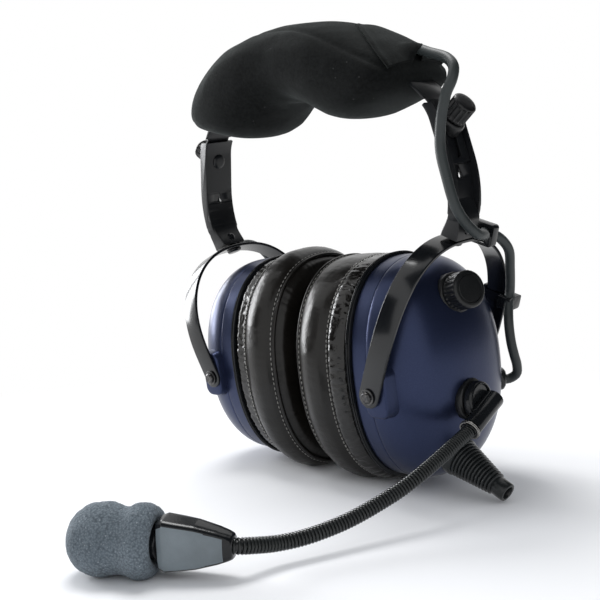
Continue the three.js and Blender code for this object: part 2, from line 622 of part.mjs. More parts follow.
// ---------------------------------------------------------------- boom microphone
const BOOM_Y = -8;
const BOOM_Z = -11.6;
const BOOM_AXIS_POINT = V3(0, BOOM_Y, BOOM_Z);
const DISC_X = SHELL_X + SHELL_DEPTH + 1.5; // clear of the dome
const DISC_END_X = DISC_X + 4;
const SEAT_ROOT_X = DISC_X - 12.6; // behind the dome's wall
const STUD_R = 2.5;
const STUD_END_X = DISC_X + 2.2;
const SLEEVE_START = V3(DISC_END_X + 1.6, -2.4, -13.5);
const SLEEVE_END = V3(DISC_END_X + 1.4, -22.4, -21.2);
const SLEEVE_BACK = -2.6; // the bar's other end, flush with the disc's edge
const SLEEVE_AXIS = SLEEVE_END.clone().sub(SLEEVE_START).normalize();
const SLEEVE_LENGTH = SLEEVE_START.distanceTo(SLEEVE_END);
const FOAM_CENTRE = V3(28.7, -169.4, -21.7);
const HOUSING_END = V3(70.3, -142, -26.8);
const MIC_AXIS = HOUSING_END.clone().sub(FOAM_CENTRE).normalize();
const HOUSING_LENGTH = HOUSING_END.distanceTo(FOAM_CENTRE);
const GOOSENECK_ROUTE = [
  SLEEVE_END.clone().addScaledVector(SLEEVE_AXIS, 2.5 * GAP),
  V3(88.9, -38, -23.6), V3(88.5, -59, -27.6), V3(86.6, -70, -30.2), V3(84, -83.5, -32.3), V3(81.5, -95, -33.6),
  V3(79, -106, -33.8), V3(76.3, -116, -33.4), V3(73.5, -125.6, -32), V3(72, -135.4, -29),
  HOUSING_END,
  FOAM_CENTRE.clone().addScaledVector(MIC_AXIS, HOUSING_LENGTH - 6.4),
];

const boomSeat = () => turned([[STUD_R + GAP, SEAT_ROOT_X], [9.6, SEAT_ROOT_X], [9.6, DISC_X - 1], [9, DISC_X - GAP],
  [STUD_R + GAP, DISC_X - GAP], [STUD_R + GAP, SEAT_ROOT_X]], 16, BOOM_AXIS_POINT, AXIS_X).subtract(DOME_OUTSIDE);

const boomStud = () => turned([[0, SEAT_ROOT_X], [5, SEAT_ROOT_X], [5, SEAT_ROOT_X + 3.5],
  [STUD_R, SEAT_ROOT_X + 3.5], [STUD_R, STUD_END_X],
  [0, STUD_END_X]], 14, BOOM_AXIS_POINT, AXIS_X);

// Disc that turns on the cup, with the boom's sleeve across its face and a scallop beside it.
function boomPivot() {
  const disc = turned([[0, DISC_X], [BOOM_DISC_R, DISC_X], [BOOM_DISC_R, DISC_END_X - 1],
    [BOOM_DISC_R - 0.9, DISC_END_X], [0, DISC_END_X]], 20, BOOM_AXIS_POINT, AXIS_X);
  const sleeve = turned([[0, SLEEVE_BACK], [SLEEVE_R, SLEEVE_BACK], [SLEEVE_R, SLEEVE_LENGTH - 2.6],
    [SLEEVE_R - 0.5, SLEEVE_LENGTH - 2.2], [SLEEVE_R - 0.5, SLEEVE_LENGTH], [0, SLEEVE_LENGTH]],
  16, SLEEVE_START, SLEEVE_AXIS);
  const overDisc = rod(BOOM_DISC_R, DISC_X, DISC_X + 13.4, 20, BOOM_AXIS_POINT, AXIS_X);
  const beyondDisc = rod(12, 4, SLEEVE_LENGTH + 4, 16, SLEEVE_START, SLEEVE_AXIS);
  const bar = sleeve.intersect(overDisc.add(beyondDisc));
  const scallop = rod(5.2, DISC_END_X - 1.6, DISC_X + 16.4, 16, V3(0, BOOM_Y - 1.4, BOOM_Z + 4.6), AXIS_X);
  const behind = rod(20, DISC_X - 4, DISC_X, 12, BOOM_AXIS_POINT, AXIS_X);
  const studBore = rod(STUD_R + GAP, DISC_X - 1, STUD_END_X + GAP, 14, BOOM_AXIS_POINT, AXIS_X);
  return cut(disc.subtract(scallop).add(bar), behind, studBore);
}

function ferrule() {
  const bore = SLEEVE_R - 0.5 + GAP;
  const from = SLEEVE_LENGTH - 1.9;
  const to = SLEEVE_LENGTH - 0.4;
  return turned([[bore, from], [SLEEVE_R + 0.3, from], [SLEEVE_R + 0.5, from + 0.7], [SLEEVE_R + 0.3, to],
    [bore, to], [bore, from]], 16, SLEEVE_START, SLEEVE_AXIS);
}

// Ribbed tube: each rib is a crest ring and a groove ring, and the bore has a ring every five ribs.
function gooseneck() {
  const route = new THREE.CatmullRomCurve3(GOOSENECK_ROUTE, false, 'centripetal');
  const ribs = Math.round(route.getLength() / RIB_PITCH);
  const frames = route.computeFrenetFrames(ribs * 2, false);
  const ring = (i, radius) => {
    const centre = route.getPointAt(i / (ribs * 2));
    return Array.from({ length: 8 }, (_, j) => {
      const angle = (j * PI) / 4;
      return centre.clone().addScaledVector(frames.normals[i], radius * cos(angle))
        .addScaledVector(frames.binormals[i], radius * sin(angle));
    });
  };
  const outer = [];
  for (let i = 0; i <= ribs * 2; i += 1) outer.push(ring(i, i % 2 === 1 ? BOOM_R : BOOM_R - RIB_DEPTH));
  const bore = [];
  for (let i = ribs * 2; i > 0; i -= 10) bore.push(ring(i, BOOM_BORE_R));
  bore.push(ring(0, BOOM_BORE_R));
  return skin([...outer, ...bore], { loop: true });
}

const HOUSING_UP = AXIS_Z.clone().addScaledVector(MIC_AXIS, -MIC_AXIS.z).normalize();
const HOUSING_SIDE = V3(0, 0, 0).crossVectors(MIC_AXIS, HOUSING_UP);

// Sections of the housing: distance from the foam's centre, half height, half thickness, squareness.
const HOUSING_SECTIONS = [[7, 5.6, 5.6, 2], [7.5, 6.1, 6.1, 2], [21.2, 6.2, 6.2, 2], [22.4, 9.2, 5.8, 4],
  [24.5, 9.9, 6.2, 5], [36, 8.2, 5.6, 5], [44, 6, 4.8, 4], [HOUSING_LENGTH - 1.6, 4.9, 4.4, 3],
  [HOUSING_LENGTH - 0.4, 4.3, 4.1, 2.4]];

function micHousing() {
  const rings = HOUSING_SECTIONS.map(([along, high, thick, squareness]) => {
    const power = 2 / squareness;
    return Array.from({ length: 16 }, (_, j) => {
      const angle = ((j + 0.5) * PI) / 8;
      const [c, s] = [cos(angle), sin(angle)];
      return FOAM_CENTRE.clone().addScaledVector(MIC_AXIS, along)
        .addScaledVector(HOUSING_SIDE, thick * sign(c) * abs(c) ** power)
        .addScaledVector(HOUSING_UP, high * sign(s) * abs(s) ** power);
    });
  });
  const socket = rod(BOOM_R + GAP, HOUSING_LENGTH - 7, HOUSING_LENGTH + 2, 14, FOAM_CENTRE, MIC_AXIS);
  return skin(rings).subtract(socket);
}

const micCapsule = () => turned([[0, -4.4], [3.6, -4.4], [4.8, -3.4], [4.8, 5.6], [3.8, 6.6], [0, 6.6]],
  14, FOAM_CENTRE, MIC_AXIS);

// Foam ball with a rolled collar, its bore open towards the housing.
function windscreen() {
  const ball = Array.from({ length: 8 }, (_, i) => {
    const angle = -PI / 2 + (i / 7) * THREE.MathUtils.degToRad(112);
    return [i === 0 ? 0 : FOAM_R * cos(angle), FOAM_R * sin(angle)];
  });
  const profile = [...ball, [12.1, 8.6], [12.6, 10.6], [13.5, 13.4], [13.5, 16.6], [12.2, 19.6], [10, 21],
    [7.6, 20.6], [6.6, 18.8], [6.6, -5], [0, -5]];
  return turned(profile, 16, FOAM_CENTRE, MIC_AXIS).subtract(underFloor(0));
}

// ---------------------------------------------------------------- volume control
const VOLUME_POINT = V3(SHELL_X + SHELL_DEPTH - 5.7, -3.2, 35.9);
const VOLUME_AXIS = V3(10, -2.6, 2.4).normalize();
const BUSHING_R = 3;
const BUSHING_END = 7;

const volumeSeat = () => turned([[BUSHING_R + GAP, -9], [9.4, -9], [9.4, 0.9], [8.7, 1.7], [BUSHING_R + GAP, 1.7],
  [BUSHING_R + GAP, -9]], 16, VOLUME_POINT, VOLUME_AXIS).subtract(DOME_OUTSIDE);
const volumePot = () => turned([[0, -16], [6.5, -16], [6.5, -8.6], [BUSHING_R, -8.6], [BUSHING_R, BUSHING_END],
  [0, BUSHING_END]], 14, VOLUME_POINT, VOLUME_AXIS);
const volumeKnob = () => flutedKnob({
  radius: VOLUME_R,
  from: 2,
  to: 10.8,
  flutes: 18,
  depth: 0.6,
  socketR: BUSHING_R + GAP,
  socketTo: BUSHING_END + GAP,
}, VOLUME_POINT, VOLUME_AXIS);

const circuitBoard = () =>
  toSolid(new THREE.BoxGeometry(1.6, 34, 22).translate(SHELL_X + SHELL_DEPTH - 12.1, 0, 8));

// ---------------------------------------------------------------- leads
const GROMMET_POINT = V3(SHELL_X + SHELL_DEPTH - 12.9, 34, -15);
const GROMMET_AXIS = V3(0.62, 0.76, -0.18).normalize();
const GROMMET_R = 4;
const outOfGrommet = (distance) => GROMMET_POINT.clone().addScaledVector(GROMMET_AXIS, distance);
const STRAP_PLACE = PIVOT_HALF_SPAN - 3.8; // strap clip on the yoke's leg
const CLIP_PLACE = 17.2; // ring clip on the yoke's strip, behind the arm

// Routes of the cross-over lead, from the near cup up to the pad. Points are chosen by hand.
const END_ROUTE = [outOfGrommet(-3), outOfGrommet(1), outOfGrommet(5), V3(75.2, 39.4, -13.4), V3(76.6, 38.4, -8.4)];
const LOWER_ROUTE = [V3(77, 36.6, -4), V3(77, 34.8, 4), V3(76.6, 35.2, 14), V3(75.6, STRAP_PLACE - 3.2, 22.5),
  onYoke(10.4, STRAP_PLACE - 1, 35), onYoke(10.1, STRAP_PLACE - 5.2, 48), onYoke(10, 31.8, 57.8), onYoke(7.8, 25.6, 63.8),
  onYoke(5.8, 19.5, 66.6), onYoke(5.8, 13.6, 67.8)];
const MIDDLE_ROUTE = [V3(84.2, 11, 59.2), V3(87.6, 5.6, 60.2), V3(89.7, -2, 61.6), V3(88.9, -8.4, 67),
  V3(87.2, -12.4, 75), V3(85.6, -14.2, 87.5), V3(84, -14.2, 100), V3(86.2, -14, 113), V3(88.2, -13.4, 119.4)];
const UPPER_ROUTE = [V3(89.2, -13, 122.2), V3(91.6, -11.4, 127.2), V3(91.4, -9, 132), V3(86.6, -6, 136.4),
  V3(76.6, -3.4, 140.4), V3(67.4, -2, 144), V3(60.5, -2, 144.6), V3(54.5, -2, 144.4)];
const FAR_MIDDLE_ROUTE = [V3(87.4, -2, 90), V3(87.6, -2.4, 82), V3(87.6, -3.6, 74), V3(88, -6.4, 66.4),
  V3(84.2, -11, 59.2)];

const otherWay = (route) => route.map((p) => V3(p.x, -p.y, p.z));
const lead = (route, steps, radius = LEAD_R) => tube(route, radius, steps);
const mirrored = (solid) => toSolid(toGeometry(solid).applyMatrix4(new THREE.Matrix4().makeScale(1, -1, 1))
  .setIndex(Array.from(toGeometry(solid).index.array).reverse()));

function grommet() {
  const stem = rod(GROMMET_R, -4, 1.5, 10, GROMMET_POINT, GROMMET_AXIS);
  const flange = turned([[0, -4], [5.6, -4], [5.6, 1.6], [4.8, 2.6], [0, 2.6]], 12, GROMMET_POINT, GROMMET_AXIS);
  const bore = rod(LEAD_R + GAP, -6, 6, 8, GROMMET_POINT, GROMMET_AXIS);
  return stem.add(flange.subtract(DOME_OUTSIDE)).subtract(bore);
}

// Clip moulded round the yoke's strip, with an eye for the lead.
function ringClip() {
  const body = plateAlongY(roundedRect(16.4, 10.4, 1.6, 1.8, YOKE_RISE + 1), CLIP_PLACE - 2.2, CLIP_PLACE + 2.2, 3);
  const strip = toSolid(leanYoke(toGeometry(yokeStrip(GAP))));
  return cut(toSolid(leanYoke(body)), strip, lead(LOWER_ROUTE, 20, LEAD_R + GAP));
}

// Strap clip round the yoke's leg, open on the head's side.
function strapClip() {
  const half = YOKE_WIDTH / 2;
  const body = plateAlongX(roundedRect(10.5, 7, 1.4, STRAP_PLACE, 29.5), YOKE_BOW - half - 1.8, 13.6, 3);
  const strip = toSolid(leanYoke(toGeometry(yokeStrip(GAP))));
  const open = toSolid(leanYoke(plateAlongX(roundedRect(20, 10, 1, STRAP_PLACE - 9.2, 29.5), -20, YOKE_BOW + half, 2)));
  return cut(toSolid(leanYoke(body)), strip, open, lead(LOWER_ROUTE, 20, LEAD_R + GAP));
}

// ---------------------------------------------------------------- strain relief
const BOOT_ROOT = V3(69, -10, -37.1);
const BOOT_TIP = V3(98.3, -13, -51.1);
const BOOT_AXIS = BOOT_TIP.clone().sub(BOOT_ROOT).normalize();
const BOOT_LENGTH = BOOT_TIP.distanceTo(BOOT_ROOT);
const BOOT_NECK_R = 5.6;
const BOOT_BORE_R = 2.7;
const BOOT_RIBS = 9;

// A neck through the shell, nine ribs that grow smaller and a plain tip, with a bore through all.
function boot() {
  const ribStart = 6.5;
  const ribEnd = BOOT_LENGTH - 6.4;
  const pitch = (ribEnd - ribStart) / BOOT_RIBS;
  const taper = (BOOT_ROOT_R - BOOT_TIP_R - 0.7) / (ribEnd - ribStart);
  const profile = [[0, -2], [BOOT_ROOT_R + 0.6, -2], [BOOT_ROOT_R + 0.6, ribStart - 0.6]];
  for (let i = 0; i < BOOT_RIBS; i += 1) {
    const h = ribStart + i * pitch;
    const r = BOOT_ROOT_R - taper * (i + 0.5) * pitch;
    profile.push([r - 1.1, h], [r, h + pitch * 0.5]);
  }
  profile.push([BOOT_TIP_R, ribEnd], [BOOT_TIP_R, BOOT_LENGTH], [0, BOOT_LENGTH]);
  const body = turned(profile, 14, BOOT_ROOT, BOOT_AXIS).subtract(DOME_OUTSIDE);
  const neck = rod(BOOT_NECK_R, -2.5, 8, 12, BOOT_ROOT, BOOT_AXIS);
  return body.add(neck).subtract(rod(BOOT_BORE_R, -4, BOOT_LENGTH + 2, 8, BOOT_ROOT, BOOT_AXIS));
}

// ---------------------------------------------------------------- assembly
const grommetHole = rod(GROMMET_R + GAP, -8, 8, 12, GROMMET_POINT, GROMMET_AXIS);

place(middle, 'headband_strip', headbandStrip(), BLACK_STEEL);
const leadHole = lead([...UPPER_ROUTE, V3(53.5, -2, 144.3)], 18, LEAD_R + GAP);
place(middle, 'head_pad', headPad(leadHole), VELOUR);
place(middle, 'lead_upper', lead(UPPER_ROUTE, 18), RUBBER);

for (const [side, group, turn] of [['near', nearSide, 0], ['far', farSide, PI]]) {
  place(group, `${side}_arm`, arm(), BLACK_STEEL);
  place(group, `${side}_clamp_seat`, clampSeat(), BLACK_PLASTIC);
  place(group, `${side}_clamp_screw`, clampScrew(), STEEL);
  place(group, `${side}_clamp_knob`, clampKnob(), BLACK_PLASTIC);
  place(group, `${side}_bracket`, bracket(), BLACK_PLASTIC);
  place(group, `${side}_rivet`, rivet(), STEEL);
  place(group, `${side}_swivel_pin`, swivelPin(), BLACK_STEEL);
  place(group, `${side}_yoke`, yoke(), BLACK_STEEL);
  const cutters = side === 'near'
    ? [grommetHole,
      rod(STUD_R + GAP, SEAT_ROOT_X, DISC_X + 7.4, 14, BOOM_AXIS_POINT, AXIS_X),
      rod(BUSHING_R + GAP, -12, 12, 14, VOLUME_POINT, VOLUME_AXIS),
      rod(BOOT_NECK_R + GAP, -6, 12, 14, BOOT_ROOT, BOOT_AXIS)]
    : [mirrored(grommetHole)];
  place(group, `${side}_shell`, shell(...cutters), NAVY);
  place(group, `${side}_rim`, rim(), NAVY);
  place(group, `${side}_seal_plate`, sealPlate(), BLACK_PLASTIC);
  place(group, `${side}_seal`, seal(turn, side === 'near' ? 0.85 : 0), LEATHER);
  place(group, `${side}_ear_foam`, earFoam(), FOAM);
  place(group, `${side}_baffle`, baffle(), BLACK_PLASTIC);
  place(group, `${side}_driver`, driver(), BLACK_PLASTIC);
  place(group, `${side}_pivot_screw_1`, pivotScrew(-1), STEEL);
  place(group, `${side}_pivot_screw_2`, pivotScrew(1), STEEL);
}

place(nearSide, 'volume_seat', volumeSeat(), BLACK_PLASTIC);
place(nearSide, 'volume_pot', volumePot(), STEEL);
place(nearSide, 'volume_knob', volumeKnob(), BLACK_PLASTIC);
place(nearSide, 'circuit_board', circuitBoard(), GREEN_BOARD);
place(nearSide, 'boom_seat', boomSeat(), BLACK_PLASTIC);
place(nearSide, 'boom_stud', boomStud(), STEEL);
place(nearSide, 'boom_pivot', boomPivot(), BLACK_PLASTIC);
place(nearSide, 'boom_ferrule', ferrule(), STEEL);
place(nearSide, 'gooseneck', gooseneck(), RUBBER);
place(nearSide, 'mic_housing', micHousing(), BLACK_PLASTIC);
place(nearSide, 'mic_capsule', micCapsule(), STEEL);
place(nearSide, 'windscreen', windscreen(), FOAM);
place(nearSide, 'cable_boot', boot(), RUBBER);
place(nearSide, 'near_grommet', grommet(), RUBBER);
place(nearSide, 'near_lead_end', lead(END_ROUTE, 7), RUBBER);
place(nearSide, 'near_lead_lower', lead(LOWER_ROUTE, 20), RUBBER);
place(nearSide, 'near_lead_middle', lead(MIDDLE_ROUTE, 16), RUBBER);
place(nearSide, 'ring_clip', ringClip(), BLACK_PLASTIC);
place(nearSide, 'strap_clip', strapClip(), BLACK_PLASTIC);
place(farSide, 'far_grommet', mirrored(grommet()), RUBBER);
place(farSide, 'far_lead_end', lead(otherWay(END_ROUTE), 7), RUBBER);
place(farSide, 'far_lead_lower', lead(otherWay(LOWER_ROUTE), 20), RUBBER);
place(farSide, 'far_lead_middle', lead(FAR_MIDDLE_ROUTE, 12), RUBBER);

// The origin is the middle of the foot of the whole headset's box.
headset.updateMatrixWorld(true);
const bounds = new THREE.Box3().setFromObject(headset, true);
const centre = bounds.getCenter(V3(0, 0, 0));
leaning.position.set(-centre.x, -centre.y, -bounds.min.z);

export default headset;
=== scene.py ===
# %% [markdown]
# # An aviation headset, dressed in Blender
# The headset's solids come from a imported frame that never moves. This lesson builds the visible
# surfaces over them: lacquered cups, leatherette seals, a velour pad, painted spring steel, a ribbed
# boom and a foam windscreen. Each step says what the real piece is before it is made.

# %% Load the frame
import math

import bpy
import bmesh
import numpy as np
from mathutils import Matrix, Vector, kdtree, noise


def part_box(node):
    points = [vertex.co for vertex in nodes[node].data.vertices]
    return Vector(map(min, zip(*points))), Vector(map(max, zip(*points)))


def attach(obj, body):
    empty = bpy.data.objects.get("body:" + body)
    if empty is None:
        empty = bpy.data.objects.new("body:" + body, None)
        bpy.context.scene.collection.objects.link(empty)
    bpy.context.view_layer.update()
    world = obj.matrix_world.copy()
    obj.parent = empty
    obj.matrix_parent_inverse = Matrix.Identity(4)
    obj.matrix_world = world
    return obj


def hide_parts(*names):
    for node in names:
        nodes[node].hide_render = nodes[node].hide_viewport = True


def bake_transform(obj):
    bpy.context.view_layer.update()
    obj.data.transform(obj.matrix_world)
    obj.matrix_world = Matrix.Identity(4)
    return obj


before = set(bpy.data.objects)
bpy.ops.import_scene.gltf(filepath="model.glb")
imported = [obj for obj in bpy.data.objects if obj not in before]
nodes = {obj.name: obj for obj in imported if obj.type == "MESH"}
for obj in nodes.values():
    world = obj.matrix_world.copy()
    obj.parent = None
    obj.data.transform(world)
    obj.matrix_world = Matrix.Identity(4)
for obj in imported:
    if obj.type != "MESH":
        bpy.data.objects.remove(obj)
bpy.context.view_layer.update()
pi, cos, sin, radians = math.pi, math.cos, math.sin, math.radians

# %% [markdown]
# ## The headset's own upright frame
# The headset stands pitched forward on its seals and its windscreen. Everything is easier to measure
# upright, in millimetres, with x out through the near cup and z up, so each point is written in that
# frame and carried into the row's frame by one matrix. The far side is the near side turned half a
# turn. The circuit board's solid tells where the upright origin lies.

# %% Upright frame to row frame
PITCH = radians(7.6)
tilt = Matrix.Rotation(PITCH, 4, 'X')
low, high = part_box("circuit_board")
origin = (low + high) / 2 - (tilt @ Vector((69, 0, 8))) * 0.001
ROW = {"near": Matrix.Translation(origin) @ tilt @ Matrix.Scale(0.001, 4)}
ROW["far"] = ROW["near"] @ Matrix.Rotation(pi, 4, 'Z')
ROW["middle"] = ROW["near"]


def at(x, y, z, side="near"):
    return ROW[side] @ Vector((x, y, z))


print("upright origin in the row frame, mm:", [round(v * 1000, 2) for v in origin])

# %% [markdown]
# ## Camera
# The photograph was taken from the front left of the wearer, a little above the cups, with the camera
# rolled slightly. The position and the lens were solved from points on the cups, yokes and band.

# %% Camera
AZIMUTH, ELEVATION, ROLL = radians(45.55), radians(3.71), radians(-2.57)
CAMERA_PLACE, LENS = Vector((0.30369, -0.32913, 0.0601)), 52.24
ahead = Vector((-sin(AZIMUTH) * cos(ELEVATION), cos(AZIMUTH) * cos(ELEVATION), -sin(ELEVATION)))
level = Vector((cos(AZIMUTH), sin(AZIMUTH), 0))
upward = level.cross(ahead)
camera_right = cos(ROLL) * level + sin(ROLL) * upward
camera_up = -sin(ROLL) * level + cos(ROLL) * upward
camera = bpy.data.objects.new("camera", bpy.data.cameras.new("camera"))
bpy.context.scene.collection.objects.link(camera)
camera.data.lens = LENS
camera.data.sensor_width = 36
turn = Matrix((camera_right, camera_up, -ahead)).transposed().to_4x4()
camera.matrix_world = Matrix.Translation(origin + CAMERA_PLACE) @ turn
camera.data.clip_start = 0.01
bpy.context.scene.camera = camera
print("camera at", [round(v, 3) for v in camera.matrix_world.translation])

# %% [markdown]
# ## Mesh helpers
# Most pieces are lofts: rings of points joined by quads. One helper turns a grid of points into a
# closed mesh with a UV map that runs round and along it, so that leather and cloth patterns can
# follow the surface. A lathe is a loft whose rings are circles.

# %% Mesh helpers
FLOOR = 0.0002


def new_piece(name, mesh):
    """A linked object for a mesh, with every face shaded smooth."""
    for polygon in mesh.polygons:
        polygon.use_smooth = True
    piece = bpy.data.objects.new(name, mesh)
    bpy.context.scene.collection.objects.link(piece)
    return piece


def stand_for(piece, body=None, replaces=()):
    """Tells the frame what a piece rides on and which solids it stands for."""
    if body:
        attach(piece, body)
    if replaces:
        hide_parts(*replaces)
    return piece


def solved_mesh(piece):
    """The mesh that a piece's modifiers make of it."""
    bpy.context.view_layer.update()
    solved = piece.evaluated_get(bpy.context.evaluated_depsgraph_get())
    return bpy.data.meshes.new_from_object(solved)


def finish_mesh(name, bm, body=None, side="near", sharp=40, floor=False, replaces=()):
    """Carries a mesh into the row frame, cleans it and makes it a piece."""
    bm.transform(ROW[side])
    if floor:
        for vert in bm.verts:
            vert.co.z = max(vert.co.z, FLOOR)
    bmesh.ops.remove_doubles(bm, verts=bm.verts, dist=2e-6)
    bmesh.ops.recalc_face_normals(bm, faces=bm.faces)
    mesh = bpy.data.meshes.new(name)
    bm.to_mesh(mesh)
    bm.free()
    piece = new_piece(name, mesh)
    mesh.set_sharp_from_angle(angle=radians(sharp))
    return stand_for(piece, body, replaces)


def grid_mesh(points, close_along=False, cap_start=True, cap_end=True):
    """points[i][j]: ring i along the piece, point j round it."""
    points = np.asarray(points, float)
    along, around = points.shape[:2]
    bm = bmesh.new()
    verts = [[bm.verts.new(p) for p in ring] for ring in points]
    uv = bm.loops.layers.uv.new("surface")
    for i in range(along if close_along else along - 1):
        for j in range(around):
            corners = [(i, j), (i, j + 1), (i + 1, j + 1), (i + 1, j)]
            face = bm.faces.new([verts[a % along][b % around] for a, b in corners])
            for loop, (a, b) in zip(face.loops, corners):
                loop[uv].uv = (b / around, a / along)
    if not close_along:
        if cap_start:
            bm.faces.new(list(reversed(verts[0])))
        if cap_end:
            bm.faces.new(verts[-1])
    return bm


def across(direction):
    """Two unit vectors square to a direction."""
    direction = Vector(direction).normalized()
    helper = Vector((0, 0, 1)) if abs(direction.z) < 0.9 else Vector((0, 1, 0))
    first = helper.cross(direction).normalized()
    return first, direction.cross(first)


def lathe_mesh(profile, base, direction, count=64, wobble=None):
    """profile: (radius, height) points from one pole to the other, or a closed loop."""
    direction = Vector(direction).normalized()
    first, second = across(direction)
    rings = []
    for radius, height in profile:
        ring = []
        for j in range(count):
            angle = 2 * pi * j / count
            r = max(radius, 0.0)
            if wobble:
                r = wobble(r, height, angle)
            outward = first * cos(angle) + second * sin(angle)
            ring.append(Vector(base) + direction * height + outward * r)
        rings.append(ring)
    return grid_mesh(rings, cap_start=profile[0][0] > 0, cap_end=profile[-1][0] > 0)


def rounded_profile(points, radius, steps=4):
    """A profile with each inner corner turned into a short arc-like curve."""
    result = [points[0]]
    for before, here, after in zip(points, points[1:], points[2:]):
        a, b, c = Vector(before), Vector(here), Vector(after)
        reach = min(radius, (a - b).length * 0.45, (c - b).length * 0.45)
        start, end = b + (a - b).normalized() * reach, b + (c - b).normalized() * reach
        for k in range(steps + 1):
            t = k / steps
            result.append(tuple(start * (1 - t) ** 2 + b * 2 * t * (1 - t) + end * t ** 2))
    result.append(points[-1])
    return result


def path_through(points, spacing):
    """A centripetal Catmull-Rom line through points, sampled evenly."""
    pts = [Vector(p) for p in points]
    pts = [pts[0] * 2 - pts[1]] + pts + [pts[-1] * 2 - pts[-2]]
    line = []
    for p0, p1, p2, p3 in zip(pts, pts[1:], pts[2:], pts[3:]):
        t0, t1 = 0, (p1 - p0).length ** 0.5
        t2 = t1 + (p2 - p1).length ** 0.5
        t3 = t2 + (p3 - p2).length ** 0.5
        for k in range(24):
            t = t1 + (t2 - t1) * k / 24
            a1 = p0 * ((t1 - t) / (t1 - t0)) + p1 * ((t - t0) / (t1 - t0))
            a2 = p1 * ((t2 - t) / (t2 - t1)) + p2 * ((t - t1) / (t2 - t1))
            a3 = p2 * ((t3 - t) / (t3 - t2)) + p3 * ((t - t2) / (t3 - t2))
            b1 = a1 * ((t2 - t) / (t2 - t0)) + a2 * ((t - t0) / (t2 - t0))
            b2 = a2 * ((t3 - t) / (t3 - t1)) + a3 * ((t - t1) / (t3 - t1))
            line.append(b1 * ((t2 - t) / (t2 - t1)) + b2 * ((t - t1) / (t2 - t1)))
    line.append(pts[-2])
    return evenly(line, spacing)


def evenly(line, spacing):
    coords = np.array([tuple(p) for p in line])
    lengths = np.concatenate([[0], np.cumsum(np.linalg.norm(np.diff(coords, axis=0), axis=1))])
    count = max(2, int(round(lengths[-1] / spacing)) + 1)
    where = np.linspace(0, lengths[-1], count)
    return [Vector([np.interp(w, lengths, coords[:, k]) for k in range(3)]) for w in where]


def tube_mesh(line, radius, count=20):
    """A tube along a line, its rings carried along without twist."""
    rings, normal = [], None
    for i, point in enumerate(line):
        tangent = (line[min(i + 1, len(line) - 1)] - line[max(i - 1, 0)]).normalized()
        if normal is None:
            normal = across(tangent)[0]
        else:
            normal = (normal - tangent * normal.dot(tangent)).normalized()
        side_way = tangent.cross(normal)
        rings.append([point + (normal * cos(2 * pi * j / count) + side_way * sin(2 * pi * j / count)) * radius
                      for j in range(count)])
    return grid_mesh(rings)


def softened(name, node, body, width, segments=2):
    """A merged copy of a solid with its edges eased by a bevel, standing for the solid."""
    bm = bmesh.new()
    bm.from_mesh(nodes[node].data)
    bmesh.ops.remove_doubles(bm, verts=bm.verts, dist=1e-6)
    bmesh.ops.dissolve_limit(bm, angle_limit=radians(0.6), verts=bm.verts, edges=bm.edges)
    mesh = bpy.data.meshes.new(name)
    bm.to_mesh(mesh)
    bm.free()
    piece = new_piece(name, mesh)
    bevel = piece.modifiers.new("eased edges", 'BEVEL')
    bevel.width = width / 1000
    bevel.segments = segments
    bevel.limit_method = 'ANGLE'
    bevel.angle_limit = radians(32)
    bevel.harden_normals = True
    bevel.use_clamp_overlap = True
    return stand_for(piece, body, [node])


def paint(piece, material):
    piece.data.materials.clear()
    piece.data.materials.append(material)
    return piece


print("helpers ready")

# %% [markdown]
# ## Shader maths as expressions
# A material is a small program. Wrapping a socket in a class with overloaded operators lets the
# program be read as a formula, such as `grain * 0.5 + 0.2`, and each operator adds its Math node.

# %% Expressions on sockets
class Value:
    def __init__(self, finish, socket):
        self.finish = finish
        self.socket = socket

    def _math(self, operation, first, second):
        return self.finish.node("ShaderNodeMath", {"operation": operation}, {0: first, 1: second})

    def __add__(self, other):
        return self._math('ADD', self, other)

    def __radd__(self, other):
        return self._math('ADD', other, self)

    def __sub__(self, other):
        return self._math('SUBTRACT', self, other)

    def __rsub__(self, other):
        return self._math('SUBTRACT', other, self)

    def __mul__(self, other):
        return self._math('MULTIPLY', self, other)

    def __rmul__(self, other):
        return self._math('MULTIPLY', other, self)

    def above(self, edge):
        return self._math('GREATER_THAN', self, edge)

    def most(self, other):
        return self._math('MAXIMUM', self, other)

    def spread(self, low, high, to_low=0.0, to_high=1.0):
        given = {"Value": self, "From Min": low, "From Max": high, "To Min": to_low, "To Max": to_high}
        return self.finish.node("ShaderNodeMapRange", {"clamp": True}, given)


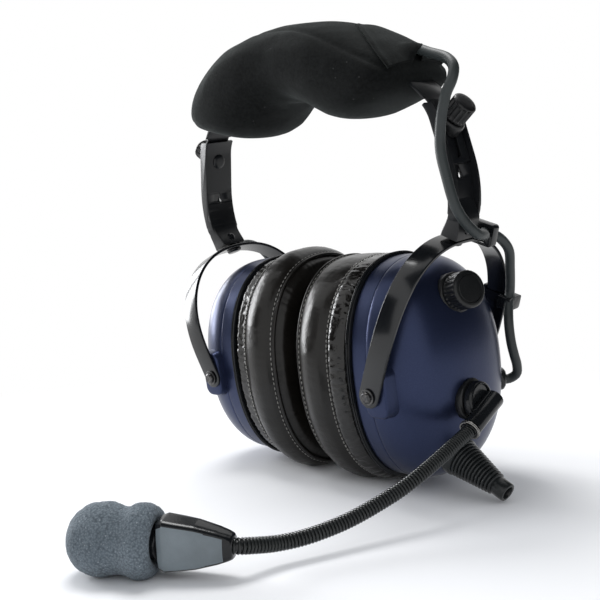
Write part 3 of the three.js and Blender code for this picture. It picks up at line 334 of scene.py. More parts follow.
class Finish:
    """A material on one Principled BSDF. Constants go straight on the shader's own sockets."""

    def __init__(self, name, **constants):
        self.material = bpy.data.materials.new(name)
        self.material.use_nodes = True
        self.tree = self.material.node_tree
        self.shader = self.tree.nodes["Principled BSDF"]
        for key, value in constants.items():
            self.set(key.replace("_", " "), value)

    def set(self, socket_name, value):
        self._give(self.shader.inputs[socket_name], value)
        return self

    def _give(self, socket, value):
        if isinstance(value, Value):
            self.tree.links.new(value.socket, socket)
        elif socket.type == 'RGBA' and len(value) == 3:
            socket.default_value = (*value, 1)
        else:
            socket.default_value = value

    def node(self, kind, settings=None, given=None, out=0):
        made = self.tree.nodes.new(kind)
        for key, value in (settings or {}).items():
            setattr(made, key, value)
        for key, value in (given or {}).items():
            self._give(made.inputs[key], value)
        return Value(self, made.outputs[out])

    def place(self):
        """Where a point of the piece lies, in metres."""
        return self.node("ShaderNodeTexCoord", out="Object")

    def noise(self, where, scale, detail=3.0, rough=0.5, distortion=0.0):
        given = {"Vector": where, "Scale": scale, "Detail": detail, "Roughness": rough,
                 "Distortion": distortion}
        return self.node("ShaderNodeTexNoise", {}, given, "Fac")

    def cells(self, where, scale):
        return self.node("ShaderNodeTexVoronoi", {}, {"Vector": where, "Scale": scale}, "Distance")

    def blend(self, share, first, second):
        settings = {"data_type": 'RGBA', "clamp_factor": True}
        made = self.node("ShaderNodeMix", settings, {0: share}, 2)
        self._give(made.socket.node.inputs[6], first)
        self._give(made.socket.node.inputs[7], second)
        return made

    def bump(self, height, strength, distance, base=None):
        given = {"Height": height, "Strength": strength, "Distance": distance}
        if base is not None:
            given["Normal"] = base
        return self.node("ShaderNodeBump", {}, given)


print("expressions ready")

# %% [markdown]
# ## Finishes
# The cups are a deep navy metallic lacquer under a thin, soft coat. Steel parts are stove-enamelled
# black, the yokes glossier than the arms; the small mouldings are black plastic; the lead is matt
# rubber. Each gets the fine detail that the real one shows: flake and orange peel, enamel ripple,
# moulded grain.

# %% Lacquer, enamel and plastics
def navy_lacquer():
    f = Finish("navy_lacquer", Metallic=0.70, Coat_Weight=0.08, Coat_Roughness=0.20, Specular_IOR_Level=0.20)
    here = f.place()
    flake = f.cells(here, 2600)
    cloud = f.noise(here, 26, 2)
    tone = f.blend(cloud.spread(0.3, 0.7), (0.0085, 0.0125, 0.033), (0.0120, 0.0175, 0.045))
    f.set("Base Color", f.blend(flake.spread(0.0, 0.6) * 0.30, (0.036, 0.048, 0.105), tone))
    f.set("Roughness", f.noise(here, 60, 4) * 0.08 + 0.30)
    f.set("Normal", f.bump(f.noise(here, 700, 2), 0.06, 0.0004))
    return f.material


def black_enamel(name="black_enamel", rough=0.17, shine=0.46):
    f = Finish(name, Coat_Weight=shine * 0.25, Coat_Roughness=0.08, Specular_IOR_Level=shine)
    here = f.place()
    cloud = f.noise(here, 45, 3, 0.5)
    f.set("Base Color", f.blend(cloud.spread(0.3, 0.7), (0.0050, 0.0058, 0.0072), (0.0090, 0.0104, 0.0122)))
    f.set("Roughness", cloud * 0.08 + (rough - 0.03))
    f.set("Normal", f.bump(f.noise(here, 240, 2), 0.025, 0.0004))
    return f.material


def satin_plastic(name="satin_plastic", color=(0.0085, 0.0090, 0.0095), rough=0.34, grain=0.10):
    f = Finish(name, Specular_IOR_Level=0.36)
    here = f.place()
    fine = f.cells(here, 1500)
    cloud = f.noise(here, 70, 4)
    f.set("Base Color", f.blend(cloud.spread(0.3, 0.7), color, tuple(c * 1.5 for c in color)))
    f.set("Roughness", cloud * 0.12 + (rough - 0.06))
    f.set("Normal", f.bump(fine + f.noise(here, 500, 3), grain, 0.0004))
    return f.material


def lead_rubber():
    f = Finish("lead_rubber", Specular_IOR_Level=0.4)
    here = f.place()
    cloud = f.noise(here, 120, 4)
    f.set("Base Color", f.blend(cloud.spread(0.25, 0.75), (0.022, 0.0275, 0.0280), (0.035, 0.042, 0.0425)))
    f.set("Roughness", cloud * 0.16 + 0.38)
    f.set("Normal", f.bump(f.noise(here, 900, 3), 0.12, 0.0004))
    return f.material


def plated_steel():
    f = Finish("plated_steel", Metallic=1.0)
    here = f.place()
    cloud = f.noise(here, 300, 5, 0.65)
    f.set("Base Color", f.blend(cloud.spread(0.35, 0.75), (0.30, 0.295, 0.285), (0.16, 0.155, 0.15)))
    f.set("Roughness", cloud * 0.22 + 0.16)
    f.set("Normal", f.bump(f.noise(here, 1500, 2), 0.05, 0.0003))
    return f.material


NAVY = navy_lacquer()
ENAMEL = black_enamel()
SATIN_ENAMEL = black_enamel("satin_enamel", 0.36, 0.34)
PLASTIC = satin_plastic()
GLOSS_PLASTIC = satin_plastic("gloss_plastic", (0.0075, 0.0085, 0.0098), 0.19, 0.04)
# The housing is black plastic; this light grey on its flat side faces is a painted reflection of the white studio.
HOUSING_FACE_PAINTED_REFLECTION = satin_plastic("housing_face_painted_reflection", (0.150, 0.176, 0.192), 0.40, 0.16)
RUBBER = lead_rubber()
BOOT_RUBBER = satin_plastic("boot_rubber", (0.0150, 0.0170, 0.0175), 0.24, 0.08)
STEEL = plated_steel()
BOOM_SKIN = satin_plastic("boom_skin", (0.0150, 0.0170, 0.0170), 0.17, 0.02)
print("finishes:", [m.name for m in (NAVY, ENAMEL, PLASTIC, HOUSING_FACE_PAINTED_REFLECTION, RUBBER, STEEL)])

# %% [markdown]
# ## Soft finishes
# The seals are leatherette: a printed grain of small cells with fine creases, shiny on the crests.
# The pad is short black velour that catches light at grazing angles and holds lint. The windscreen
# is open-cell foam, so its surface is all pores.

# %% Leatherette, velour and foam
LEATHER_TONES = (0.0058, 0.0050, 0.0042), (0.0120, 0.0104, 0.0086)


def leatherette(name, rough, crease, fold, dark, shine):
    f = Finish(name, Specular_IOR_Level=shine, Coat_Weight=shine * 0.5, Coat_Roughness=0.12)
    here = f.place()
    grain = f.cells(here, 1250)
    wrinkle = f.noise(here, 120, 4, 0.55, 0.9)
    fine = f.noise(here, 430, 4, 0.6, 0.5)
    cloud = f.noise(here, 32, 3)
    deep, pale = (tuple(v * dark for v in tone) for tone in LEATHER_TONES)
    f.set("Base Color", f.blend(cloud.spread(0.3, 0.7), deep, pale))
    f.set("Roughness", cloud * 0.10 + wrinkle * 0.10 + (rough - 0.10))
    coarse = f.bump(wrinkle + fine * fold, crease, 0.0016)
    f.set("Normal", f.bump(grain, 0.12, 0.0004, coarse))
    return f.material


def velour():
    f = Finish("velour", Roughness=0.95, Specular_IOR_Level=0.12, Sheen_Weight=0.11, Sheen_Roughness=0.40,
               Sheen_Tint=(0.55, 0.62, 0.6, 1))
    here = f.place()
    pile = f.noise(here, 1500, 4, 0.7)
    nap = f.noise(here, 38, 4, 0.55, 0.4)
    lint = f.cells(here, 210).spread(0.0, 0.07, 1.0, 0.0) * f.noise(here, 45, 2).above(0.52)
    grain = f.noise(here, 620, 3, 0.6).spread(0.32, 0.68)
    base = f.blend(nap.spread(0.35, 0.7), (0.0030, 0.0034, 0.0034), (0.0066, 0.0074, 0.0074))
    woven = f.blend(grain * 0.45, base, (0.0145, 0.0158, 0.0156))
    f.set("Base Color", f.blend(lint * 0.8, woven, (0.11, 0.11, 0.105)))
    f.set("Normal", f.bump(pile * 0.5 + nap * 0.6, 0.35, 0.0012))
    return f.material


def windscreen_foam():
    f = Finish("windscreen_foam", Roughness=0.96, Specular_IOR_Level=0.2, Sheen_Weight=0.08,
               Sheen_Roughness=0.5)
    here = f.place()
    shaded_pore = f.cells(here, 1250)
    small = f.cells(here, 2300)
    cloud = f.noise(here, 60, 3)
    speck = f.noise(here, 1700, 2).spread(0.66, 0.73)
    wall = f.blend(cloud.spread(0.3, 0.7), (0.150, 0.183, 0.210), (0.205, 0.245, 0.276))
    lit = f.blend(speck, wall, (0.52, 0.56, 0.60))
    # Painted shade: the pores are darkened towards deep blue-grey, for the shade inside the open cells.
    f.set("Base Color", f.blend(shaded_pore.spread(0.25, 0.9) * 0.66, lit, (0.040, 0.050, 0.062)))
    f.set("Normal", f.bump(shaded_pore + small * 0.5, 0.6, 0.0005))
    return f.material


LEATHER = leatherette("leatherette", 0.20, 0.15, 0.3, 0.6, 0.40)
BAND_LEATHER = leatherette("band_leatherette", 0.32, 0.12, 0.3, 0.9, 0.27)
VELOUR = velour()
FOAM = windscreen_foam()
# Painted highlight: the stitches are black thread, and this light grey stands in for the glints along them.
PAINTED_GLINT_THREAD = satin_plastic("thread_painted_glint", (0.21, 0.205, 0.19), 0.34, 0.2)
print("soft finishes:", [m.name for m in (LEATHER, BAND_LEATHER, VELOUR, FOAM, PAINTED_GLINT_THREAD)])

# %% [markdown]
# ## Rows of stitches and ribs by Geometry Nodes
# Stitches repeat at an even pitch along a seam, and a gooseneck's ribs repeat along its centre line.
# Both are one tree: a line is resampled at the pitch and a small mesh is put at each point, turned
# along the line. The tree ends in Realize Instances and Set Material, and the result is kept as a
# plain mesh.

# %% A tree that repeats a small form along a line
def repeat_tree():
    tree = bpy.data.node_groups.new("repeat_along_line", 'GeometryNodeTree')
    face = tree.interface
    face.new_socket("Geometry", in_out='INPUT', socket_type='NodeSocketGeometry')
    for name, start in (("Pitch", 0.003), ("Length", 0.002), ("Radius", 0.0004)):
        face.new_socket(name, in_out='INPUT', socket_type='NodeSocketFloat').default_value = start
    face.new_socket("Ring", in_out='INPUT', socket_type='NodeSocketBool').default_value = False
    face.new_socket("Thickness", in_out='INPUT', socket_type='NodeSocketFloat').default_value = 0.0005
    face.new_socket("Finish", in_out='INPUT', socket_type='NodeSocketMaterial')
    face.new_socket("Geometry", in_out='OUTPUT', socket_type='NodeSocketGeometry')
    new, link = tree.nodes.new, tree.links.new
    given, result = new('NodeGroupInput'), new('NodeGroupOutput')
    line = new('GeometryNodeMeshToCurve')
    link(given.outputs["Geometry"], line.inputs["Mesh"])
    evenly_spaced = new('GeometryNodeResampleCurve')
    evenly_spaced.mode = 'LENGTH'
    link(line.outputs["Curve"], evenly_spaced.inputs["Curve"])
    link(given.outputs["Pitch"], evenly_spaced.inputs["Length"])
    tangent = new('GeometryNodeInputTangent')
    turned = new('FunctionNodeAlignRotationToVector')
    turned.axis = 'Z'
    link(tangent.outputs["Tangent"], turned.inputs["Vector"])
    # a stitch: a slim ball stretched along the line
    ball = new('GeometryNodeMeshUVSphere')
    ball.inputs["Segments"].default_value = 6
    ball.inputs["Rings"].default_value = 5
    ball.inputs["Radius"].default_value = 1.0
    size = new('ShaderNodeCombineXYZ')
    half = new('ShaderNodeMath')
    half.operation = 'MULTIPLY'
    half.inputs[1].default_value = 0.5
    link(given.outputs["Length"], half.inputs[0])
    link(given.outputs["Radius"], size.inputs["X"])
    link(given.outputs["Radius"], size.inputs["Y"])
    link(half.outputs[0], size.inputs["Z"])
    stitch = new('GeometryNodeTransform')
    link(ball.outputs["Mesh"], stitch.inputs["Geometry"])
    link(size.outputs["Vector"], stitch.inputs["Scale"])
    # a rib: a circle swept round the line
    circle = new('GeometryNodeCurvePrimitiveCircle')
    circle.inputs["Resolution"].default_value = 20
    link(given.outputs["Radius"], circle.inputs["Radius"])
    section = new('GeometryNodeCurvePrimitiveCircle')
    section.inputs["Resolution"].default_value = 6
    link(given.outputs["Thickness"], section.inputs["Radius"])
    ring = new('GeometryNodeCurveToMesh')
    link(circle.outputs["Curve"], ring.inputs["Curve"])
    link(section.outputs["Curve"], ring.inputs["Profile Curve"])
    choose = new('GeometryNodeSwitch')
    choose.input_type = 'GEOMETRY'
    link(given.outputs["Ring"], choose.inputs["Switch"])
    link(stitch.outputs["Geometry"], choose.inputs["False"])
    link(ring.outputs["Mesh"], choose.inputs["True"])
    copies = new('GeometryNodeInstanceOnPoints')
    link(evenly_spaced.outputs["Curve"], copies.inputs["Points"])
    link(choose.outputs["Output"], copies.inputs["Instance"])
    link(turned.outputs["Rotation"], copies.inputs["Rotation"])
    real = new('GeometryNodeRealizeInstances')
    link(copies.outputs["Instances"], real.inputs["Geometry"])
    soft = new('GeometryNodeSetShadeSmooth')
    link(real.outputs["Geometry"], soft.inputs["Geometry"])
    dressed = new('GeometryNodeSetMaterial')
    link(soft.outputs["Geometry"], dressed.inputs["Geometry"])
    link(given.outputs["Finish"], dressed.inputs["Material"])
    link(dressed.outputs["Geometry"], result.inputs["Geometry"])
    return tree


REPEAT = repeat_tree()


def run_tree(name, tree, base, body, slot=None, replaces=(), **inputs):
    """Runs a tree on a base mesh and keeps the plain mesh that it makes."""
    holder = new_piece(name + "_line", base)
    modifier = holder.modifiers.new("tree", 'NODES')
    modifier.node_group = tree
    ids = {item.name: item.identifier for item in tree.interface.items_tree if item.in_out == 'INPUT'}
    for key, value in inputs.items():
        modifier[ids[key]] = value
    mesh = solved_mesh(holder)
    mesh.name = name
    holder.modifiers.remove(modifier)
    bpy.data.objects.remove(holder)
    return stand_for(new_piece(name, mesh), body, replaces)


def line_base(points, closed=False):
    """A mesh of edges only, through points in the row frame."""
    mesh = bpy.data.meshes.new("line")
    edges = [(i, i + 1) for i in range(len(points) - 1)]
    if closed:
        edges.append((len(points) - 1, 0))
    mesh.from_pydata([tuple(p) for p in points], edges, [])
    return mesh


def stitch_row(name, points, body, pitch, length, radius):
    return run_tree(name, REPEAT, line_base(points, True), body, slot="leatherette", Pitch=pitch / 1000,
                    Length=length / 1000, Radius=radius / 1000, Finish=PAINTED_GLINT_THREAD)


print("tree sockets:", [i.name for i in REPEAT.interface.items_tree if i.in_out == 'INPUT'])

# %% [markdown]
# ## The cups' oval
# Seen from the side the cups, seals and flanges all follow one oval, a little squarer than an
# ellipse. Its points are spaced evenly round the edge so that stitches and creases don't bunch up.

# %% Oval
HALF_WIDTH, HALF_HEIGHT, ROUNDNESS = 40.6, 53.0, 2.25
DOME_X, DOME_DEPTH, DOME_FULLNESS, SHELL_WALL = 50.1, 31.0, 2.35, 2.4


def smooth_step(low, high, value):
    t = min(1.0, max(0.0, (value - low) / (high - low)))
    return t * t * (3 - 2 * t)


def oval_xy(angle, a, b):
    power = 2 / ROUNDNESS
    c, s = np.cos(angle), np.sin(angle)
    return np.sign(c) * np.abs(c) ** power * a, np.sign(s) * np.abs(s) ** power * b


def even_angles(count):
    dense = np.linspace(0, 2 * pi, 7201)
    y, z = oval_xy(dense, HALF_WIDTH, HALF_HEIGHT)
    run = np.concatenate([[0], np.cumsum(np.hypot(np.diff(y), np.diff(z)))])
    return np.interp(np.arange(count) / count * run[-1], run, dense)


def oval_ring(x, inset, count, share=1.0):
    angles = even_angles(count)
    y, z = oval_xy(angles, (HALF_WIDTH - inset) * share, (HALF_HEIGHT - inset) * share)
    return np.stack([np.full(count, x), y, z], 1)


def oval_band(profile, count=160):
    return grid_mesh([oval_ring(x, inset, count) for x, inset in profile], close_along=True)


steps = np.diff(oval_ring(0, 0, 721), axis=0)
print("oval perimeter, mm:", round(float(np.linalg.norm(steps, axis=1).sum())))

# %% [markdown]
# ## Cup shells and rims
# Each cup is a drawn dome closed by a rim, with a fine parting line between them, and a raised boss
# front and back for the yoke's pivot screws. A loft gives the smooth highlight that lacquer needs,
# which a faceted solid can't.

# %% Domes, rims and bosses
def dome_profile(steps, inset=0.0):
    power = 2 / DOME_FULLNESS
    dense = np.linspace(0, pi / 2, 4001)
    x = (DOME_DEPTH - inset) * np.sin(dense) ** power
    share = np.clip(np.cos(dense), 0, 1) ** power
    run = np.concatenate([[0], np.cumsum(np.hypot(np.diff(x), np.diff(share * 46)))])
    where = np.linspace(0, run[-1], steps)
    return np.interp(where, run, x) + DOME_X, np.interp(where, run, share)


def dome(side):
    count = 144
    rings = [oval_ring(DOME_X + forward, inset, count)
             for forward, inset in ((0, SHELL_WALL), (0, 0.4), (0.03, 0.1), (0.22, 0.02))]
    xs, shares = dome_profile(46)
    for x, share in zip(xs[1:], shares[1:]):
        rings.append(oval_ring(max(x, DOME_X + 0.6), 0.0, count, max(share, 1e-6)))
    inner_x, inner_share = dome_profile(20, SHELL_WALL)
    for x, share in reversed(list(zip(inner_x, inner_share))):
        rings.append(oval_ring(x, SHELL_WALL, count, max(share, 1e-6)))
    bm = grid_mesh(rings, cap_start=False, cap_end=False)
    return paint(finish_mesh(f"{side}_dome", bm, f"{side}_cup", side, 50, replaces=[f"{side}_shell"]), NAVY)


def rim(side):
    profile = [(41.2, 3), (41.2, 1.1), (41.3, 0.55), (41.6, 0.2), (42.1, 0.04), (43.0, 0), (45.5, 0),
               (47.5, 0), (49.4, 0), (49.86, 0.03), (49.97, 0.12), (49.98, 0.4), (49.98, 3)]
    piece = finish_mesh(f"{side}_cup_rim", oval_band(profile), f"{side}_cup", side, 50,
                        replaces=[f"{side}_rim"])
    return paint(piece, NAVY)


def rounded_block(size, centre, radius, edge):
    """A block with rounded corners seen along y and an eased outer edge. size: x, y, z."""
    sx, sy, sz = (s / 2 for s in size)
    rings = []
    for y, shrink in ((-sy, -1.2), (sy - 2 * edge, -0.4), (sy - edge, 0.0), (sy - edge * 0.6, edge * 0.08),
                      (sy - edge * 0.3, edge * 0.3), (sy - edge * 0.08, edge * 0.6), (sy, edge)):
        ring = []
        for corner, (cx, cz) in enumerate(((1, 1), (-1, 1), (-1, -1), (1, -1))):
            for k in range(9):
                angle = pi / 2 * (corner + k / 8)
                ring.append((centre[0] + cx * (sx - radius) + (radius - shrink) * cos(angle), centre[1] + y,
                             centre[2] + cz * (sz - radius) + (radius - shrink) * sin(angle)))
        rings.append(ring)
    return grid_mesh(rings)


def boss(side, end):
    bm = rounded_block((12.6, 8, 23), (56.6, 40.3, -1), 4.4, 1.1)
    if end < 0:
        bmesh.ops.scale(bm, vec=(1, -1, 1), verts=bm.verts)
    name = f"{side}_boss_{'back' if end > 0 else 'front'}"
    return paint(finish_mesh(name, bm, f"{side}_cup", side, 40), NAVY)


for side in ("near", "far"):
    shown = [dome(side), rim(side), boss(side, 1), boss(side, -1)]
    print(side, [(o.name, len(o.data.polygons)) for o in shown])

# %% [markdown]
# ## Ear seals
# A seal is a leatherette tube round the ear, stretched over a flange. Its back is gathered, so that
# part is crinkled and glossy; a stitched seam divides it from a smooth band, and a piped seam runs
# round the crown. The section is a smooth closed curve, and the creases are moved into the mesh
# with a fixed noise, so that they are real form and catch real highlights.

# %% Seal section and creases
HEM_X = 28.4
SEAL_SECTION = [(4.9, 5.0), (5.9, 2.2), (8.2, 0.0), (9.6, -1.4), (12.6, -3.7), (18.0, -5.3), (23.6, -4.7),
                (27.2, -2.9), (HEM_X, -2.4), (29.6, -3.1), (31.6, -3.6), (34.6, -3.2), (37.0, -2.3),
                (38.3, -1.0), (38.6, 1.2), (38.5, 6.0), (38.3, 10.5), (35.0, 14.2), (30.0, 16.6),
                (24, 17.7), (18, 18.1), (13.0, 17.6), (9.0, 16.2), (6.0, 13.4), (4.4, 10.4), (4.2, 8.2)]


def closed_curve(points, count):
    """A smooth closed line through points, as (x, inset), with a share along it."""
    pts = np.array(points, float)
    n = len(pts)
    out = []
    for i in range(n):
        p0, p1, p2, p3 = (pts[(i + k) % n] for k in (-1, 0, 1, 2))
        for k in range(16):
            t = k / 16
            out.append(0.5 * ((2 * p1) + (p2 - p0) * t + (2 * p0 - 5 * p1 + 4 * p2 - p3) * t * t
                              + (3 * p1 - p0 - 3 * p2 + p3) * t ** 3))
    out = np.array(out + [out[0]])
    run = np.concatenate([[0], np.cumsum(np.linalg.norm(np.diff(out, axis=0), axis=1))])
    where = np.arange(count) / count * run[-1]
    return np.stack([np.interp(where, run, out[:, 0]), np.interp(where, run, out[:, 1])], 1)


def seal_ring(side, x, inset, count):
    """An oval ring of the seal. The near one lies flat at its top, the far one's gathers lie low."""
    if side == "far" and x > 28.9 and inset < 1.2:
        inset = max(inset, -2.9) + 1.9 * smooth_step(28.9, 31.5, x)
    ring = oval_ring(x, inset, count)
    if side == "near" and inset < 0:
        up = np.clip(np.sin(even_angles(count)), 0, 1)[:, None] ** 2
        ring += (oval_ring(x, 0, count) - ring) * 0.85 * up
    return ring


def seal_mesh(side):
    count, steps = 440, 150
    section = closed_curve(SEAL_SECTION, steps)
    rings = np.array([seal_ring(side, x, inset, count) for x, inset in section])
    centre = np.array([oval_ring(22, 6, count)])[0]
    seed = 3.1 if side == "near" else 11.7
    for i, (x, inset) in enumerate(section):
        outside = inset < 4
        gather = 0.0
        if outside:
            gather = max(0.0, min(1.0, (x - 28.2) / 2.2)) * max(0.0, min(1.0, (38.6 - x) / 1.2))
        band = max(0.0, 1 - abs(x - 19) / 9) if outside else 0.0
        seam = max(0.0, 1 - abs(x - HEM_X) / 1.6) if outside else 0.0
        crown = max(0.0, 1 - abs(x - 7) / 5) * (1 if inset < 12 else 0.5)
        for j in range(count):
            u = j / count
            ring_way = Vector((cos(2 * pi * u), sin(2 * pi * u), 0))
            broad = noise.noise(ring_way * 5.2 + Vector((x * 0.02, seed, 0)))
            near_seam = max(0.0, 1 - abs(x - 29.5) / 4.5)
            swirl = Vector((0.35 * broad, 0.35 * noise.noise(ring_way * 9 + Vector((x * 0.2, seed, 3))), 0))
            here = ring_way + swirl * 0.12
            pleat = noise.noise(here * 24 + Vector((x * 0.05, seed, 2)))
            fine = noise.noise(here * 66 + Vector((x * 0.13, seed, 5)))
            crease = 1 - abs(noise.noise(here * 30 + Vector((x * 0.07, seed, 8)))) * 3.0
            sharp_fold = max(0.0, crease) ** 2
            edges = 0.22 + 0.78 * max(near_seam, max(0.0, (x - 34.6) / 4)) ** 0.8
            move = gather * (pleat * 0.55 + fine * 0.62 * edges + 0.62 * edges * (0.3 - sharp_fold))
            move += band * (broad * 0.55 + fine * 0.10 + pleat * 0.16) + crown * (broad * 0.35 + pleat * 0.22)
            move -= seam * (0.25 + 0.15 * fine)
            point = rings[i, j]
            out = point - centre[j]
            length = np.linalg.norm(out)
            if length > 1:
                rings[i, j] = point + out / length * move
    return rings


def seal(side):
    rings = seal_mesh(side)
    bm = grid_mesh(rings, close_along=True)
    piece = finish_mesh(f"{side}_ear_seal", bm, f"{side}_cup", side, 75, floor=True,
                        replaces=[f"{side}_seal"])
    paint(piece, BAND_LEATHER)
    piece.data.materials.append(LEATHER)
    turned = ROW[side].inverted()
    for polygon in piece.data.polygons:
        here = turned @ polygon.center
        if abs(here.x) > HEM_X:
            polygon.material_index = 1
    return piece


def above_floor(points):
    for p in points:
        p.z = max(p.z, 0.0006)
    return points


def seal_line(side, x, inset, count=420):
    return above_floor([at(*p, side) for p in seal_ring(side, x, inset, count)])


def ring_tube(name, side, x, inset, radius, material, count=300):
    line = [Vector(p) for p in seal_ring(side, x, inset, count)]
    rings = []
    for i, point in enumerate(line):
        tangent = (line[(i + 1) % count] - line[i - 1]).normalized()
        normal = Vector((1, 0, 0))
        side_way = tangent.cross(normal)
        rings.append([point + (normal * cos(2 * pi * j / 12) + side_way * sin(2 * pi * j / 12)) * radius
                      for j in range(12)])
    bm = grid_mesh(rings, close_along=True)
    piece = finish_mesh(name, bm, f"{side}_cup", side, 60, floor=True)
    return paint(piece, material)


for side in ("near", "far"):
    ear_seal = seal(side)
    ring_tube(f"{side}_crown_piping", side, 8.6, -1.1, 0.85, BAND_LEATHER)
    stitch_row(f"{side}_crown_stitches", seal_line(side, 9.9, -2.15), f"{side}_cup", 2.5, 1.6, 0.27)
    stitch_row(f"{side}_hem_stitches", seal_line(side, HEM_X, -2.75), f"{side}_cup", 2.3, 1.7, 0.34)
    print(side, "seal faces:", len(ear_seal.data.polygons))

# %% [markdown]
# ## Flange and ear cloth
# Between seal and rim is a black flange with fine turned ridges, and a disc of foam cloth closes the
# ear opening in front of the driver.

# %% Flange and ear cloth
def flange(side):
    profile = [(38.75, 12), (38.75, -0.4), (38.85, -1.1), (39.1, -1.5), (39.35, -1.55), (39.55, -1.2),
               (39.65, -0.7), (39.75, -1.2), (39.95, -1.6), (40.2, -1.6), (40.4, -1.2), (40.5, -0.6),
               (40.6, -1.0), (40.8, -1.25), (41.0, -1.1), (41.1, -0.4), (41.1, 12)]
    piece = finish_mesh(f"{side}_flange", oval_band(profile, 200), f"{side}_cup", side, 60,
                        replaces=[f"{side}_seal_plate"])
    return paint(piece, GLOSS_PLASTIC)


def ear_cloth(side):
    opening, count = 12.4, 120
    rings = [oval_ring(40.6, opening, count), oval_ring(39.0, opening, count)]
    for k in range(1, 22):
        share = 1 - k / 22
        sag = 0.5 * noise.noise(Vector((share * 6, 3.3, 0)))
        depth = 38.6 - 0.9 * (1 - share ** 2) + sag * 0.4
        rings.append(oval_ring(depth, opening, count, max(share, 1e-6)))
    piece = finish_mesh(f"{side}_ear_cloth", grid_mesh(rings), f"{side}_cup", side, 60,
                        replaces=[f"{side}_ear_foam"])
    return paint(piece, VELOUR)


for side in ("near", "far"):
    print(flange(side).name, ear_cloth(side).name)

# %% [markdown]
# ## Head pad
# The pad is a thick black velour cushion wrapped round the band, with two lobes that hang on either
# side of the crown and a waist between them. Its section changes along the band, so it is lofted
# from sections in the band's own frame.

# %% Band line and pad sections
KNEE_X, KNEE_Z, KNEE_R, STRAIGHT_LEAN = 77.2, 112, 20.8, radians(12)
BEND_TOP = radians(35)
SHOULDER_R, SHOULDER_LEAN = 60.0, radians(60)
BEND_CENTRE = Vector((KNEE_X - KNEE_R * cos(STRAIGHT_LEAN), KNEE_Z - KNEE_R * sin(STRAIGHT_LEAN)))
ARM_TOP = BEND_CENTRE + Vector((cos(BEND_TOP), sin(BEND_TOP))) * KNEE_R
SHOULDER_CENTRE = ARM_TOP - Vector((cos(BEND_TOP), sin(BEND_TOP))) * SHOULDER_R
SHOULDER_END = SHOULDER_CENTRE + Vector((cos(SHOULDER_LEAN), sin(SHOULDER_LEAN))) * SHOULDER_R
CROWN_R = SHOULDER_END.x / cos(SHOULDER_LEAN)
CROWN_CENTRE = Vector((0, SHOULDER_END.y - CROWN_R * sin(SHOULDER_LEAN)))
# distance from the crown, depth under the band, half width, height over it: near side, far side
PAD_SECTIONS = np.array([[0, 19.8, 28.5, 16, 16], [10, 21, 28.8, 15.7, 16.6], [20, 24.4, 29.6, 15, 17.4],
                         [30, 27.4, 30.1, 14, 18], [38, 28.2, 30, 13, 18.2], [46, 27.2, 29.8, 12, 18],
                         [54, 24, 29.2, 11, 17.2], [62, 18.2, 27.8, 9.8, 15.4], [68.5, 11.4, 25, 8.2, 12],
                         [71.6, 6.4, 21.5, 5.8, 8.4], [72.9, 1.5, 12, 1.5, 3.5]])


def on_band(distance):
    side = 1 if distance >= 0 else -1
    past = abs(distance) - CROWN_R * (pi / 2 - SHOULDER_LEAN)
    if past < 0:
        centre, radius, angle = CROWN_CENTRE, CROWN_R, pi / 2 - abs(distance) / CROWN_R
    else:
        centre, radius, angle = SHOULDER_CENTRE, SHOULDER_R, SHOULDER_LEAN - past / SHOULDER_R
    point = centre + Vector((cos(angle), sin(angle))) * radius
    return Vector((side * point.x, point.y)), Vector((side * cos(angle), sin(angle)))


def pad_point(s, angle, lift=0.0):
    """Point on the pad's skin at a distance along the band, angle 90 degrees on top and 180 in front."""
    sizes = [float(np.interp(abs(s), PAD_SECTIONS[:, 0], PAD_SECTIONS[:, k])) for k in range(1, 5)]
    under, half, over = sizes[0], sizes[1], sizes[2] if s > 0 else sizes[3]
    point, out = on_band(float(s))
    c, sn = cos(angle), sin(angle)
    power = 2 / 2.45
    up = (over - under) / 2 + ((over + under) / 2 + lift) * math.copysign(abs(sn) ** power, sn)
    y = (half + lift) * math.copysign(abs(c) ** power, c)
    return Vector((point.x + out.x * up, y, point.y + out.y * up))


BACK_SEAM, PAD_END = radians(48), 65


def seam_angle(s):
    """The front seam climbs from the near end's side to the far end's top."""
    return radians(96 + 44 * smooth_step(-66, 52, s))


def pad_skin():
    ends = np.linspace(0, 1, 14) ** 0.55 * 7.8
    even = np.linspace(-PAD_END, PAD_END, 150)[1:-1]
    stops = np.concatenate([-(PAD_END + ends)[::-1], even, PAD_END + ends])
    rings = []
    for s in stops:
        s = float(s)
        fade = 1 - smooth_step(66, 72, abs(s))
        ring = []
        for j in range(120):
            angle = 2 * pi * (j + 0.5) / 120
            away, back = abs(angle - seam_angle(s)) * 20, abs(angle - BACK_SEAM) * 20
            groove = math.exp(-(away / 1.3) ** 2) + 0.7 * math.exp(-(back / 1.3) ** 2)
            puff = math.exp(-((away - 5) / 4.5) ** 2) * 0.3
            where = Vector((s * 0.035, cos(angle) * 1.1, sin(angle) * 1.1))
            lumps = noise.noise(where) * 1.1 + noise.noise(where * 3.1 + Vector((4, 0, 0))) * 0.35
            pucker = noise.noise(Vector((s * 0.32, 1.7, 0.4))) * math.exp(-(away / 5) ** 2) * 0.5
            ring.append(pad_point(s, angle, fade * (lumps + puff + pucker - groove * 0.85)))
        rings.append(ring)
    return rings


pad = finish_mesh("velour_pad", grid_mesh(pad_skin()), "headband", "middle", 80, replaces=["head_pad"])
paint(pad, VELOUR)
print("pad:", len(pad.data.polygons), "faces")

# %% [markdown]
# A pad gets its crown from the air and foam pressing outward against a skin that the seams hold back.
# The cloth solver does that: the skin is made an even mesh, the seams are pinned, and a pressure
# swells it for twenty frames. No point may move more than a few millimetres. The seams are pressed in
# again afterwards on a finer mesh, because the even one is too coarse for them.

# %% Swell the pad
SWELL_FRAMES = 20


